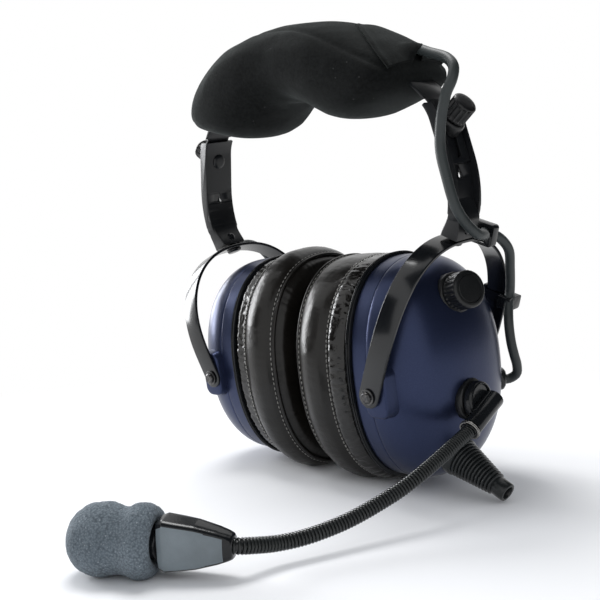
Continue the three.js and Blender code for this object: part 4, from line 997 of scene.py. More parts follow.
def swell(piece, voxel, pressure, most, held):
    """Swells a closed skin with the cloth solver. held(point) gives how firmly a point is pinned."""
    even = piece.modifiers.new("even mesh", 'REMESH')
    even.mode, even.voxel_size, even.use_smooth_shade = 'VOXEL', voxel, True
    scene = bpy.context.scene
    skin = solved_mesh(piece)
    piece.modifiers.remove(even)
    old, piece.data = piece.data, skin
    before = np.array([tuple(v.co) for v in skin.vertices])
    group = piece.vertex_groups.new(name="seams")
    for vert in skin.vertices:
        group.add([vert.index], held(vert.co), 'REPLACE')
    cloth = piece.modifiers.new("skin", 'CLOTH')
    cloth.settings.use_pressure = True
    cloth.settings.uniform_pressure_force = pressure
    cloth.settings.effector_weights.gravity = 0
    cloth.settings.vertex_group_mass = "seams"
    cloth.settings.quality = 5
    cloth.point_cache.frame_start, cloth.point_cache.frame_end = 1, SWELL_FRAMES
    for frame_number in range(1, SWELL_FRAMES + 1):
        scene.frame_set(frame_number)
    solved = piece.evaluated_get(bpy.context.evaluated_depsgraph_get())
    result = bpy.data.meshes.new_from_object(solved)
    piece.modifiers.remove(cloth)
    scene.frame_set(1)
    after = np.array([tuple(v.co) for v in result.vertices])
    step = after - before
    length = np.maximum(np.linalg.norm(step, axis=1, keepdims=True), 1e-9)
    step *= np.minimum(1, most / length)
    for vert, place in zip(result.vertices, before + step):
        vert.co = place
    for polygon in result.polygons:
        polygon.use_smooth = True
    piece.vertex_groups.clear()
    piece.data = result
    bpy.data.meshes.remove(old)
    mean = float(np.linalg.norm(step, axis=1).mean() * 1000)
    print(piece.name, "swelled by", round(mean, 2), "mm on average")


SEAM_STOPS, SEAM_HOLD = np.linspace(-68, 68, 180), 0.0026
SEAM_POINTS = [pad_point(s, seam_angle(s), 0.5) for s in SEAM_STOPS]
SEAM_POINTS += [pad_point(s, BACK_SEAM, 0.5) for s in SEAM_STOPS]
SEAMS = kdtree.KDTree(len(SEAM_POINTS))
for i, seam_point in enumerate(SEAM_POINTS):
    SEAMS.insert(ROW["middle"] @ seam_point, i)
SEAMS.balance()


def seam_hold(point):
    return 1.0 if SEAMS.find(point)[2] < SEAM_HOLD else 0.0


def press_seams(piece, depth, width):
    """Makes the skin finer and presses a groove into it along the seams."""
    finer = piece.modifiers.new("finer", 'SUBSURF')
    finer.levels = finer.render_levels = 2
    skin = solved_mesh(piece)
    piece.modifiers.remove(finer)
    for vert in skin.vertices:
        away = SEAMS.find(vert.co)[2]
        vert.co -= vert.normal * depth * math.exp(-(away / width) ** 2)
    for polygon in skin.polygons:
        polygon.use_smooth = True
    piece.data = skin


swell(pad, 0.0042, 3.0, 0.0022, seam_hold)
press_seams(pad, 0.0011, 0.0016)

# %% [markdown]
# ## Spring steel: band, arms, yokes
# These are stamped and bent strip. The band's and the arms' solids already have the right bends, holes
# and flanges, so a merged copy with eased edges is enough: the thin bright line along each edge is
# what says steel.

# %% Steel parts
for side in ("near", "far"):
    for name, node, ease, slot, finish in (("arm_steel", "arm", 0.32, "black_steel", SATIN_ENAMEL),
                                           ("pin_head", "swivel_pin", 0.3, "black_steel", ENAMEL),
                                           ("wedge_seat", "clamp_seat", 0.4, "black_plastic", PLASTIC)):
        paint(softened(f"{side}_{name}", f"{side}_{node}", f"{side}_arm_set", ease), finish)
paint(softened("spring_band", "headband_strip", "headband", 0.25), SATIN_ENAMEL)
print("steel parts eased")

# %% [markdown]
# At its foot the arm's plate runs on into a thicker foot that carries the swivel pin. The foot is
# lofted along the arm's own sweep, so that plate and foot flow into each other without a step, and
# the arm's two flanges taper into it. The clamping bolt shows inside the arm only as a low round head,
# and the foot's rivet has a pan head on each side.

# %% Arm feet, bolt heads and rivets
PIVOT_X, PIVOT_Z, YOKE_LEAN = 54.2, -2, radians(19.3)
SWEEP_R, STRAIGHT, TO_CLAMP = 53, 18.4, 3.1
STRAIGHT_FOOT = Vector((KNEE_X + STRAIGHT * sin(STRAIGHT_LEAN), KNEE_Z - STRAIGHT * cos(STRAIGHT_LEAN)))
SWEEP_CENTRE = STRAIGHT_FOOT - Vector((cos(STRAIGHT_LEAN), sin(STRAIGHT_LEAN))) * SWEEP_R
CLAMP = Vector((KNEE_X + TO_CLAMP * sin(STRAIGHT_LEAN), 0, KNEE_Z - TO_CLAMP * cos(STRAIGHT_LEAN)))


def on_yoke(x, y, z):
    """A point in the yoke's own frame, which leans outward from the pivots."""
    return Vector((PIVOT_X + x * cos(YOKE_LEAN) + z * sin(YOKE_LEAN), y,
                   PIVOT_Z - x * sin(YOKE_LEAN) + z * cos(YOKE_LEAN)))


def strip_section(half, thick, corner):
    """A flat section with rounded corners, as (across, out) points."""
    ring = []
    corner = min(corner, half * 0.9)
    for quarter, (cx, cy) in enumerate(((1, 1), (-1, 1), (-1, -1), (1, -1))):
        for k in range(5):
            angle = pi / 2 * (quarter + k / 4)
            ring.append((cx * (half - corner) + corner * cos(angle),
                         cy * (thick - corner) + corner * sin(angle)))
    return ring


def arm_foot(side):
    rings = []
    for lean in np.linspace(-3.5, -24.2, 40):
        share = (lean + 3.5) / -20.7
        out = Vector((cos(radians(lean)), sin(radians(lean))))
        inner = 0.78 + 3.1 * smooth_step(0.30, 1.0, share)
        outer = 0.78 + 4.1 * smooth_step(0.10, 0.62, share)
        half = 9.25 - 1.5 * smooth_step(0.1, 0.85, share)
        middle = SWEEP_CENTRE + out * (SWEEP_R + (outer - inner) / 2)
        section = strip_section(half, (outer + inner) / 2, min(0.7, (outer + inner) * 0.3))
        rings.append([(middle.x + out.x * b, a, middle.y + out.y * b) for a, b in section])
    return paint(finish_mesh(f"{side}_arm_foot", grid_mesh(rings), f"{side}_arm_set", side, 45,
                             replaces=[f"{side}_bracket"]), SATIN_ENAMEL)


def flange_tail(side, sign):
    rings = []
    for lean in np.linspace(-8.5, -18.0, 22):
        share = (lean + 8.5) / -9.5
        out = Vector((cos(radians(lean)), sin(radians(lean))))
        edge = 9.17 - 1.5 * smooth_step(0.32, 1.0, share)
        middle = SWEEP_CENTRE + out * (SWEEP_R + 1.68)
        rings.append([(middle.x + out.x * b, sign * (edge - 0.75) + a, middle.y + out.y * b)
                      for a, b in strip_section(0.75, 2.45, 0.3)])
    name = f"{side}_flange_tail_{'back' if sign > 0 else 'front'}"
    return paint(finish_mesh(name, grid_mesh(rings), f"{side}_arm_set", side, 45),
                 SATIN_ENAMEL)


def bolt_head(side):
    profile = rounded_profile([(0, 2.1), (2.6, 2.0), (3.9, 1.4), (4.1, 0.4)], 0.5)
    inward = (-cos(STRAIGHT_LEAN), 0, -sin(STRAIGHT_LEAN))
    bm = lathe_mesh(list(profile) + [(1.4, 0.4), (1.4, -3.0), (0, -3.0)], CLAMP, inward, 40)
    return paint(finish_mesh(f"{side}_bolt_head", bm, f"{side}_arm_set", side, 40,
                             replaces=[f"{side}_clamp_screw"]), SATIN_ENAMEL)


def rivet(side):
    profile = [(0, -4.4), (1.3, -4.3), (2.1, -3.9), (2.4, -3.2), (2.4, -2.6), (1.2, -2.6), (1.2, 4.2),
               (2.6, 4.2), (2.6, 4.7), (2.2, 5.3), (1.3, 5.65), (0, 5.7)]
    bm = lathe_mesh(profile, on_yoke(1.6, 0, 71.6), (cos(YOKE_LEAN), 0, -sin(YOKE_LEAN)), 36)
    return paint(finish_mesh(f"{side}_rivet_heads", bm, f"{side}_arm_set", side, 40,
                             replaces=[f"{side}_rivet"]), ENAMEL)


for side in ("near", "far"):
    print(arm_foot(side).name, bolt_head(side).name, rivet(side).name, end=" ")
    for sign in (-1, 1):
        flange_tail(side, sign)
print()

# %% [markdown]
# The arm's web is one long curved plate with a drop-shaped hole. A smooth plate is lofted along the
# arm's line, and a small drop is cut through it.

# %% Arm webs
def arc_line(centre, radius, start, stop, count):
    return [centre + Vector((cos(radians(a)), sin(radians(a)))) * radius
            for a in np.linspace(start, stop, count)]


def drop_cutter(side):
    outline = [(1.6 * cos(a), 87.4 + 1.6 * sin(a)) for a in np.linspace(pi, 2 * pi, 17)] + [(0, 92.0)]
    return finish_mesh("drop", grid_mesh([[(x, y, z) for y, z in outline] for x in (72, 90)]), side=side)


def arm_web(side):
    knee = Vector((KNEE_X, KNEE_Z))
    line = arc_line(SWEEP_CENTRE, SWEEP_R, -9, 12, 40)
    line += [STRAIGHT_FOOT.lerp(knee, k / 20) for k in range(1, 20)]
    line += arc_line(BEND_CENTRE, KNEE_R, 12, 34.6, 24)
    rings = []
    for i, point in enumerate(line):
        along = (line[min(i + 1, len(line) - 1)] - line[max(i - 1, 0)]).normalized()
        out = Vector((along.y, -along.x))
        rings.append([(point.x + out.x * b, a, point.y + out.y * b)
                      for a, b in strip_section(9.14, 0.80, 0.3)])
    piece = finish_mesh(f"{side}_arm_web", grid_mesh(rings), side=side, sharp=45)
    cutter = drop_cutter(side)
    cut = piece.modifiers.new("drop hole", 'BOOLEAN')
    cut.operation, cut.solver, cut.object = 'DIFFERENCE', 'EXACT', cutter
    plate = solved_mesh(piece)
    piece.modifiers.remove(cut)
    piece.data = plate
    bpy.data.objects.remove(cutter)
    return paint(stand_for(piece, f"{side}_arm_set"), SATIN_ENAMEL)


for side in ("near", "far"):
    print(arm_web(side).name, end=" ")
print()

# %% [markdown]
# A yoke is a half hoop of flat strip with round tabs at the pivots. Its legs bow out a little halfway
# up, and the whole hoop leans outward. Long smooth reflections run along it, so it is lofted: a
# section with rounded corners is carried along the hoop's line.

# %% Yokes
YOKE_HALF, YOKE_THICK, YOKE_SPAN = 5.4, 0.8, 45.4
LEG_TOP, ARCH_RISE = 12, 53.5


def hoop_line(spacing):
    """The strip's middle line, (y, z), from one tab's end over the top to the other's."""
    power = 2 / 2.35
    arch = [(YOKE_SPAN * math.copysign(abs(cos(a)) ** power, cos(a)), LEG_TOP + ARCH_RISE * sin(a) ** power)
            for a in np.linspace(pi, 0, 721)[1:-1]]
    line = [Vector((-YOKE_SPAN, z, 0)) for z in np.linspace(-YOKE_HALF + 0.02, LEG_TOP, 40)]
    line += [Vector((y, z, 0)) for y, z in arch]
    line += [Vector((YOKE_SPAN, z, 0)) for z in np.linspace(LEG_TOP, -YOKE_HALF + 0.02, 40)]
    return evenly(line, spacing)


def yoke(side):
    line, rings = hoop_line(0.7), []
    for i, point in enumerate(line):
        along = (line[min(i + 1, len(line) - 1)] - line[max(i - 1, 0)]).normalized()
        out = Vector((-along.y, along.x, 0))
        z = point.y
        half = YOKE_HALF if z > 0 else math.sqrt(max(YOKE_HALF ** 2 - z ** 2, 0.04))
        height = LEG_TOP + ARCH_RISE
        bow = 1.9 * sin(pi * min(max(z, 0), height) / height)
        rings.append([on_yoke(bow + a, point.x + out.x * b, point.y + out.y * b)
                      for a, b in strip_section(half, YOKE_THICK, 0.5)])
    return paint(finish_mesh(f"{side}_yoke_steel", grid_mesh(rings), f"{side}_yoke_set", side, 50,
                             replaces=[f"{side}_yoke"]), ENAMEL)


for side in ("near", "far"):
    print(yoke(side).name, end=" ")
print()

# %% [markdown]
# ## Pivot screws
# Each yoke leg turns on a pan-head screw with a plain washer under it and a recess in its head.

# %% Pivot screws
SEAT = YOKE_SPAN + YOKE_THICK + 0.3
SCREW_PROFILE = rounded_profile([(0, SEAT + 2.5), (2.0, SEAT + 2.4), (2.65, SEAT + 1.6),
                                 (2.7, SEAT + 0.8)], 0.6)
WASHER_PROFILE = rounded_profile([(0, SEAT - 0.1), (3.6, SEAT - 0.1), (3.7, SEAT + 0.75),
                                  (0, SEAT + 0.8)], 0.25)


def pivot_screw(side, number, end):
    recess, pivot = 1.7, (PIVOT_X, 0, PIVOT_Z)
    shank = [(0, 39), (2, 39), (2, SEAT)]
    bm = lathe_mesh(shank + list(reversed(SCREW_PROFILE)), pivot, (0, end, 0), 48)
    for vert in bm.verts:
        if abs(vert.co.y) > SEAT + 2.0:
            r = math.hypot(vert.co.x - PIVOT_X, vert.co.z - PIVOT_Z)
            if r < recess:
                vert.co.y -= end * 0.8 * (1 - r / recess)
    name = f"{side}_pan_head_{number}"
    head = paint(finish_mesh(name, bm, f"{side}_cup", side, 40, replaces=[f"{side}_pivot_screw_{number}"]), SCREW_BLACK)
    washer = lathe_mesh(WASHER_PROFILE, pivot, (0, end, 0), 48)
    paint(finish_mesh(f"{side}_washer_{number}", washer, f"{side}_cup", side, 40), SCREW_BLACK)
    return head


def blackened_screw():
    f = Finish("blackened_screw", Metallic=0.9)
    here = f.place()
    cloud = f.noise(here, 420, 5, 0.6)
    f.set("Base Color", f.blend(cloud.spread(0.4, 0.7), (0.055, 0.055, 0.058), (0.16, 0.155, 0.15)))
    f.set("Roughness", cloud * 0.2 + 0.2)
    f.set("Normal", f.bump(f.noise(here, 900, 3), 0.08, 0.0003))
    return f.material


SCREW_BLACK = blackened_screw()
for side in ("near", "far"):
    for number, end in ((1, -1), (2, 1)):
        print(pivot_screw(side, number, end).name, end=" ")
print()

# %% [markdown]
# ## Fluted knobs
# The clamping knobs and the volume knob are moulded barrels with rounded flutes. A lathe whose radius
# is pulled in at each flute gives them with one formula.

# %% Knobs
def fluted(name, base, direction, radius, low, high, flutes, depth, body, side, node, groove=None):
    """A fluted barrel from low to high along its axis, with a turned groove in its end if asked."""
    def pull(r, h, angle):
        share = min(1, max(0, (h - low - 0.9) / 0.6)) * min(1, max(0, (high - 1.0 - h) / 0.5))
        if r < radius - 1.6:
            return r
        return r - depth * share * (0.5 + 0.5 * cos(flutes * angle)) ** 0.6
    points = [(0, low), (radius - 0.6, low), (radius - 0.1, low + 0.35)]
    points += [(radius, low + 0.9 + k * (high - low - 2.0) / 10) for k in range(11)]
    points += [(radius - 0.25, high - 0.7), (radius - 0.7, high - 0.25), (radius - 1.3, high - 0.08)]
    if groove:
        points += [(groove + 0.25, high - 0.05), (groove, high - 0.45), (groove - 0.3, high - 0.1)]
    points += [(radius * 0.4, high), (0, high)]
    bm = lathe_mesh(points, base, direction, flutes * 10, pull)
    return paint(finish_mesh(name, bm, body, side, 35, replaces=[node]), PLASTIC)


KNOB_TILT = radians(37)
for side in ("near", "far"):
    fluted(f"{side}_thumb_knob", CLAMP, (cos(KNOB_TILT), 0, sin(KNOB_TILT)), 5.7, 5.7, 14.9, 16, 0.65,
           f"{side}_knob", side, f"{side}_clamp_knob")
VOLUME_POINT, VOLUME_AXIS = Vector((75.4, -3.2, 35.9)), Vector((10, -2.6, 2.4)).normalized()
fluted("volume_barrel", VOLUME_POINT, VOLUME_AXIS, 8.5, 2, 10.8, 26, 0.55, "volume", "near", "volume_knob",
       groove=6.2)
paint(softened("volume_collar", "volume_seat", "near_cup", 0.4), PLASTIC)
print("knobs fluted")

# %% [markdown]
# The parts inside the cups, the boom's stud and the microphone's capsule keep their solids, which only
# get a finish.

# %% Inner parts
for node in ("volume_pot", "boom_stud", "mic_capsule"):
    paint(nodes[node], STEEL)
paint(nodes["circuit_board"], BOOT_RUBBER)
for side in ("near", "far"):
    paint(nodes[f"{side}_baffle"], PLASTIC)
    paint(nodes[f"{side}_driver"], PLASTIC)
print("inner parts painted")

# %% [markdown]
# ## Boom
# The boom turns on a glossy disc whose bar holds a sleeve; two bright rings close it, and a ribbed
# gooseneck runs to the microphone. The ribs are a wound wire under a black skin, about a millimetre
# and a half apart, so they are repeated along the route by the tree.

# %% Boom pivot, ferrule and gooseneck
SLEEVE_START, SLEEVE_END = Vector((88.2, -2.4, -13.5)), Vector((88, -22.4, -21.2))
SLEEVE_AXIS = (SLEEVE_END - SLEEVE_START).normalized()
SLEEVE_LENGTH = (SLEEVE_END - SLEEVE_START).length
FOAM_CENTRE, HOUSING_END = Vector((28.7, -169.4, -21.7)), Vector((70.3, -142, -26.8))
MIC_AXIS = (HOUSING_END - FOAM_CENTRE).normalized()
HOUSING_LENGTH = (HOUSING_END - FOAM_CENTRE).length
BOOM_ROUTE = [SLEEVE_END + SLEEVE_AXIS * 0.75, (88.9, -38, -23.6), (88.5, -59, -27.6), (86.6, -70, -30.2),
              (84, -83.5, -32.3), (81.5, -95, -33.6), (79, -106, -33.8), (76.3, -116, -33.4),
               (73.5, -125.6, -32),
              (72, -135.4, -29), HOUSING_END, FOAM_CENTRE + MIC_AXIS * (HOUSING_LENGTH - 6.4)]


def boom_pivot():
    disc = [(0, 82.6), (7.9, 82.6), (8.3, 82.8), (8.4, 83.2), (8.4, 85.5), (8.3, 86.1), (8.0, 86.45),
            (7.6, 86.6), (7.25, 86.5), (7.0, 86.2), (6.9, 85.75), (0, 85.7)]
    plate = finish_mesh("boom_disc", lathe_mesh(disc, (0, -8, -11.6), (1, 0, 0), 72), "boom", "near", 35,
                        replaces=["boom_pivot"])
    bar = [(0, -2.6), (3.7, -2.6), (4.15, -2.4), (4.3, -1.9)]
    bar += [(radius, SLEEVE_LENGTH - short)
            for radius, short in ((4.3, 3.0), (4.2, 2.7), (3.85, 2.5), (3.8, 0.3), (3.6, 0), (0, 0))]
    sleeve = finish_mesh("boom_bar", lathe_mesh(bar, SLEEVE_START, SLEEVE_AXIS, 64), "boom", "near", 35)
    bar_up = SLEEVE_AXIS.cross(Vector((1, 0, 0))).normalized()
    rings = []
    for s in np.linspace(-2.3, 12.6, 24):
        end = min(1.0, (s + 2.5) / 1.2, (12.8 - s) / 1.6) ** 0.5
        middle = SLEEVE_START + SLEEVE_AXIS * float(s)
        rings.append([middle + bar_up * a * (0.75 + 0.25 * end) + Vector((86.2 - middle.x + b * end, 0, 0))
                      for a, b in strip_section(4.6, 2.2, 0.8)])
    saddle = finish_mesh("boom_saddle", grid_mesh(rings), "boom", "near", 45)
    return [paint(piece, GLOSS_PLASTIC) for piece in (plate, sleeve, saddle)]


print([o.name for o in boom_pivot()])
paint(softened("boom_collar", "boom_seat", "near_cup", 0.4), PLASTIC)
boom_line = path_through(BOOM_ROUTE, 1.0)
core = finish_mesh("gooseneck_core", tube_mesh(boom_line, 2.2, 24), "boom", "near", 60)
paint(core, BOOT_RUBBER)
ribs = run_tree("gooseneck_ribs", REPEAT, line_base([at(*p) for p in boom_line]), "boom", slot="rubber",
                replaces=["gooseneck"], Pitch=0.00145, Radius=0.00245, Ring=True, Thickness=0.00065,
                Finish=BOOM_SKIN)


def ferrule():
    bore, low = 4.1, SLEEVE_LENGTH - 1.9
    profile = [(radius, low + height) for radius, height in (
        (bore, 0), (4.6, 0), (4.8, 0.25), (4.8, 0.5), (4.55, 0.72), (4.8, 0.95), (4.8, 1.2), (4.6, 1.5),
        (bore, 1.5), (bore, 0))]
    bm = lathe_mesh(profile, SLEEVE_START, SLEEVE_AXIS, 48)
    return paint(finish_mesh("ferrule_rings", bm, "boom", "near", 30, replaces=["boom_ferrule"]), STEEL)


print(ferrule().name, "| ribs:", len(ribs.data.polygons), "faces, route mm:", len(boom_line) - 1)

# %% [markdown]
# ## Microphone housing and windscreen
# The housing is a flat capsule, taller towards the foam, with an eased edge all round its side face.
# The windscreen is a foam ball with a rolled collar. Its loft is pushed in and out by noise so that
# the outline is slightly lumpy, and the pores are in the finish, as a bump with painted shade in them.

# %% Housing and windscreen
HOUSING_UP = (Vector((0, 0, 1)) - MIC_AXIS * MIC_AXIS.z).normalized()
HOUSING_SIDE = MIC_AXIS.cross(HOUSING_UP)
# distance from the foam's centre, half height, half thickness, squareness of the section
HOUSING_SECTIONS = np.array([[7, 5.6, 5.6, 2], [7.5, 6.1, 6.1, 2], [21.2, 6.2, 6.2, 2], [21.8, 8.6, 5.3, 3.2],
                             [22.6, 9.4, 5.9, 4], [24.5, 9.9, 6.2, 5], [30, 9.1, 6.0, 5.2], [36, 8.2, 5.6, 5],
                             [44, 6.2, 4.9, 4], [47.5, 5.1, 4.5, 3.2], [HOUSING_LENGTH - 1.0, 4.5, 4.2, 2.6],
                             [HOUSING_LENGTH - 0.5, 4.0, 3.8, 2.2], [HOUSING_LENGTH - 0.4, 3.2, 3.1, 2]])


def housing():
    dense = sorted(set(list(np.linspace(7, HOUSING_LENGTH - 0.4, 90)) + list(HOUSING_SECTIONS[:, 0])))
    rings = []
    for s in dense:
        high, thick, square = (np.interp(s, HOUSING_SECTIONS[:, 0], HOUSING_SECTIONS[:, k])
                               for k in (1, 2, 3))
        ring = []
        for j in range(72):
            angle = 2 * pi * (j + 0.5) / 72
            c, sn = cos(angle), sin(angle)
            power = 2 / square
            ring.append(FOAM_CENTRE + MIC_AXIS * s
                        + HOUSING_SIDE * (thick * math.copysign(abs(c) ** power, c))
                        + HOUSING_UP * (high * math.copysign(abs(sn) ** power, sn)))
        rings.append(ring)
    piece = finish_mesh("microphone_housing", grid_mesh(rings), "boom", "near", 40,
                        replaces=["mic_housing"])
    paint(piece, GLOSS_PLASTIC)
    # The flat side faces wear the light grey of a painted reflection.
    piece.data.materials.append(HOUSING_FACE_PAINTED_REFLECTION)
    side_way = (ROW["near"].to_3x3() @ HOUSING_SIDE).normalized()
    start, end = at(*(FOAM_CENTRE + MIC_AXIS * 22)), at(*(FOAM_CENTRE + MIC_AXIS * 46.5))
    along = (end - start).normalized()
    for polygon in piece.data.polygons:
        share = (polygon.center - start).dot(along) / (end - start).length
        if abs(polygon.normal.dot(side_way)) > 0.86 and 0 < share < 1:
            polygon.material_index = 1
    return piece


def windscreen():
    ball = [(13.4 * cos(a), 13.4 * sin(a)) for a in np.linspace(-pi / 2, radians(20), 46)]
    rest = [(12.3, 6.6), (12.0, 8.6), (12.4, 10.6), (13.2, 12.4), (13.6, 14.4), (13.5, 16.6), (12.9, 18.6),
            (11.8, 20.2), (10.2, 20.9), (8.6, 20.9), (7.4, 20.2), (6.8, 18.6), (6.6, 14), (6.6, 6), (6.6, -5),
            (0, -5)]
    dense = path_through([(r, h, 0) for r, h in [ball[-1]] + rest[:13]], 0.55)
    profile = [(max(r, 0), h) for r, h in ball[:-1]] + [(p.x, p.y) for p in dense] + rest[12:]

    def lumpy(r, h, angle):
        if r < 7:
            return r
        here = Vector((r * cos(angle), r * sin(angle), h))
        return r + 0.55 * noise.noise(here * 0.16 + Vector((0, 0, 4))) + 0.22 * noise.noise(here * 0.7)

    bm = lathe_mesh(profile, FOAM_CENTRE, MIC_AXIS, 112, lumpy)
    piece = finish_mesh("foam_windscreen", bm, "boom", "near", 75, floor=True, replaces=["windscreen"])
    return paint(piece, FOAM)


print(housing().name, windscreen().name)

# %% [markdown]
# ## Strain relief, grommets and clips
# The main lead leaves the cup through a ribbed rubber boot. The cross-over lead leaves through a small
# grommet and is held by two clips on the yoke.

# %% Boot, grommets, clips
BOOT_ROOT, BOOT_TIP = Vector((69, -10, -37.1)), Vector((98.3, -13, -51.1))
BOOT_AXIS = (BOOT_TIP - BOOT_ROOT).normalized()
BOOT_LENGTH = (BOOT_TIP - BOOT_ROOT).length
RIB_SHAPE = ((0.0, 0.9), (0.14, 0.8), (0.24, 0.25), (0.36, 0.02), (0.64, 0.0), (0.78, 0.2), (0.88, 0.75))


def boot():
    start, end, count = 6.5, BOOT_LENGTH - 6.4, 12
    pitch = (end - start) / count
    root_radius, tip_radius = 8.8, 5.1
    taper = (root_radius - tip_radius) / (end - start)
    profile = [(2.7, -2), (9.2, -2), (9.4, 0), (9.4, start - 1.4), (9.2, start - 0.7), (8.6, start - 0.3)]
    for i in range(count):
        low, r = start + i * pitch, root_radius - taper * (i + 0.5) * pitch
        profile += [(r - inset, low + share * pitch) for share, inset in RIB_SHAPE]
    profile += [(4.15, end), (4.3, end + 0.5), (4.4, end + 1.2)]
    profile += [(radius, BOOT_LENGTH - short) for radius, short in (
        (4.4, 0.7), (4.2, 0.15), (3.9, 0), (3.1, 0), (2.75, 0.5), (2.7, 6))]
    bm = lathe_mesh(profile + [(2.7, -2)], BOOT_ROOT, BOOT_AXIS, 72)
    piece = finish_mesh("ribbed_boot", bm, "near_cup", "near", 50, floor=True, replaces=["cable_boot"])
    return paint(piece, BOOT_RUBBER)


for node, ease in (("ring_clip", 1.1), ("strap_clip", 0.6)):
    paint(softened(f"{node}_moulding", node, "near_yoke_set", ease, 3), GLOSS_PLASTIC)
for side in ("near", "far"):
    paint(softened(f"{side}_grommet_rubber", f"{side}_grommet", f"{side}_cup", 0.4, 3),
          BOOT_RUBBER)
print(boot().name)

# %% [markdown]
# ## Cross-over lead
# The lead between the cups is one soft rubber cable. It is made in stretches that meet inside the
# clip and beside the arm.

# %% Lead routes and stretches
GROMMET, GROMMET_AXIS = Vector((68.2, 34, -15)), Vector((0.62, 0.76, -0.18)).normalized()
ROUTE_TO_CLIP = [GROMMET + GROMMET_AXIS * -3, GROMMET + GROMMET_AXIS * 1, GROMMET + GROMMET_AXIS * 5,
                 Vector((75.2, 39.4, -13.4)), Vector((76.6, 38.4, -8.4)), Vector((77, 36.6, -4)),
                 Vector((77, 34.8, 4)), Vector((76.6, 35.2, 14)), Vector((75.6, 38.4, 22.5)),
                 on_yoke(10.4, 40.6, 35)]
ROUTE_TO_ARM = [on_yoke(10.4, 40.6, 35), on_yoke(10.1, 36.4, 48), on_yoke(10, 31.8, 57.8),
                on_yoke(7.8, 25.6, 63.8), on_yoke(5.8, 19.5, 66.6), on_yoke(5.8, 13.6, 67.8),
                Vector((84.2, 11, 59.2)), Vector((87.6, 5.6, 60.2)), Vector((89.7, -2, 61.6)),
                Vector((88.9, -8.4, 67)), Vector((87.2, -12.4, 75)), Vector((85.6, -14.2, 87.5))]
ROUTE_TO_PAD = [Vector((85.6, -14.2, 87.5)), Vector((84, -14.2, 100)), Vector((86.2, -14, 113)),
                Vector((88.2, -13.4, 119.4)), Vector((89.2, -13, 122.2)), Vector((91.6, -11.4, 127.2)),
                Vector((91.4, -9, 132)), Vector((86.6, -6, 136.4)), Vector((76.6, -3.4, 140.4)),
                Vector((67.4, -2, 144)), Vector((60.5, -2, 144.6)), Vector((54.5, -2, 144.4))]
FAR_TO_ARM = [Vector((p.x, -p.y, p.z)) for p in ROUTE_TO_ARM[:6]] + [
    Vector((84.2, -11, 59.2)), Vector((88, -6.4, 66.4)), Vector((87.6, -3.6, 74)), Vector((87.6, -2.4, 82)),
    Vector((87.4, -2, 90))]
FAR_TO_CLIP = [Vector((p.x, -p.y, p.z)) for p in ROUTE_TO_CLIP]


def whole_route(*parts):
    joined = list(parts[0])
    for part in parts[1:]:
        joined += part[1:]
    return path_through(joined, 1.4)


def lead_stretch(name, line, side, replaced):
    piece = finish_mesh(name, tube_mesh(line, 2.3, 20), None, side, 60, replaces=replaced)
    paint(piece, RUBBER)
    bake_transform(piece)
    path = [at(*p, side) for p in line]
    length = sum((b - a).length for a, b in zip(path, path[1:]))
    return piece


def cut_at(line, point):
    return min(range(len(line)), key=lambda i: (line[i] - point).length)


IN_CLIP, ON_CORNER = on_yoke(10.4, 40.6, 30), on_yoke(5.8, 15, 67.6)
near_line = whole_route(ROUTE_TO_CLIP, ROUTE_TO_ARM, ROUTE_TO_PAD)
first, second = cut_at(near_line, IN_CLIP), cut_at(near_line, ROUTE_TO_PAD[0])
lead_stretch("near_lead_from_cup", near_line[:first + 1], "near",
             ["near_lead_end"])
lead_stretch("near_lead_on_yoke", near_line[first:second + 1], "near",
             ["near_lead_lower", "near_lead_middle"])
lead_stretch("near_lead_to_pad", near_line[second:], "near",
             ["lead_upper"])
far_line = whole_route(FAR_TO_CLIP, FAR_TO_ARM)
middle = cut_at(far_line, Vector((IN_CLIP.x, -IN_CLIP.y, IN_CLIP.z)))
lead_stretch("far_lead_from_cup", far_line[:middle + 1], "far",
             ["far_lead_end"])
lead_stretch("far_lead_on_yoke", far_line[middle:], "far",
             ["far_lead_lower", "far_lead_middle"])

# %% [markdown]
# ## The pad cover's flap
# At its near end the cover is closed by a flap, folded over the lead where it enters the pad. The
# flap's front edge runs slantwise down from the top, a little raised, with a turned hem. It follows
# the pad's skin and is lifted wherever the lead lies under it.

# %% Flap of the pad's cover
FLAP_FROM, FLAP_TO, FLAP_BACK = 28.0, 67.0, radians(50)
LEAD_UNDER = np.array([tuple(p) for p in near_line if p.x < 80 and p.z > 130])


def flap_edge(s):
    return radians(86 + 1.34 * (s - FLAP_FROM))


def clear_of_lead(s, angle, lift):
    for high in np.arange(7.5, lift, -0.25):
        point = np.array(pad_point(s, angle, float(high)))
        if np.linalg.norm(LEAD_UNDER - point, axis=1).min() < 2.75:
            return float(high) + 0.25
    return lift


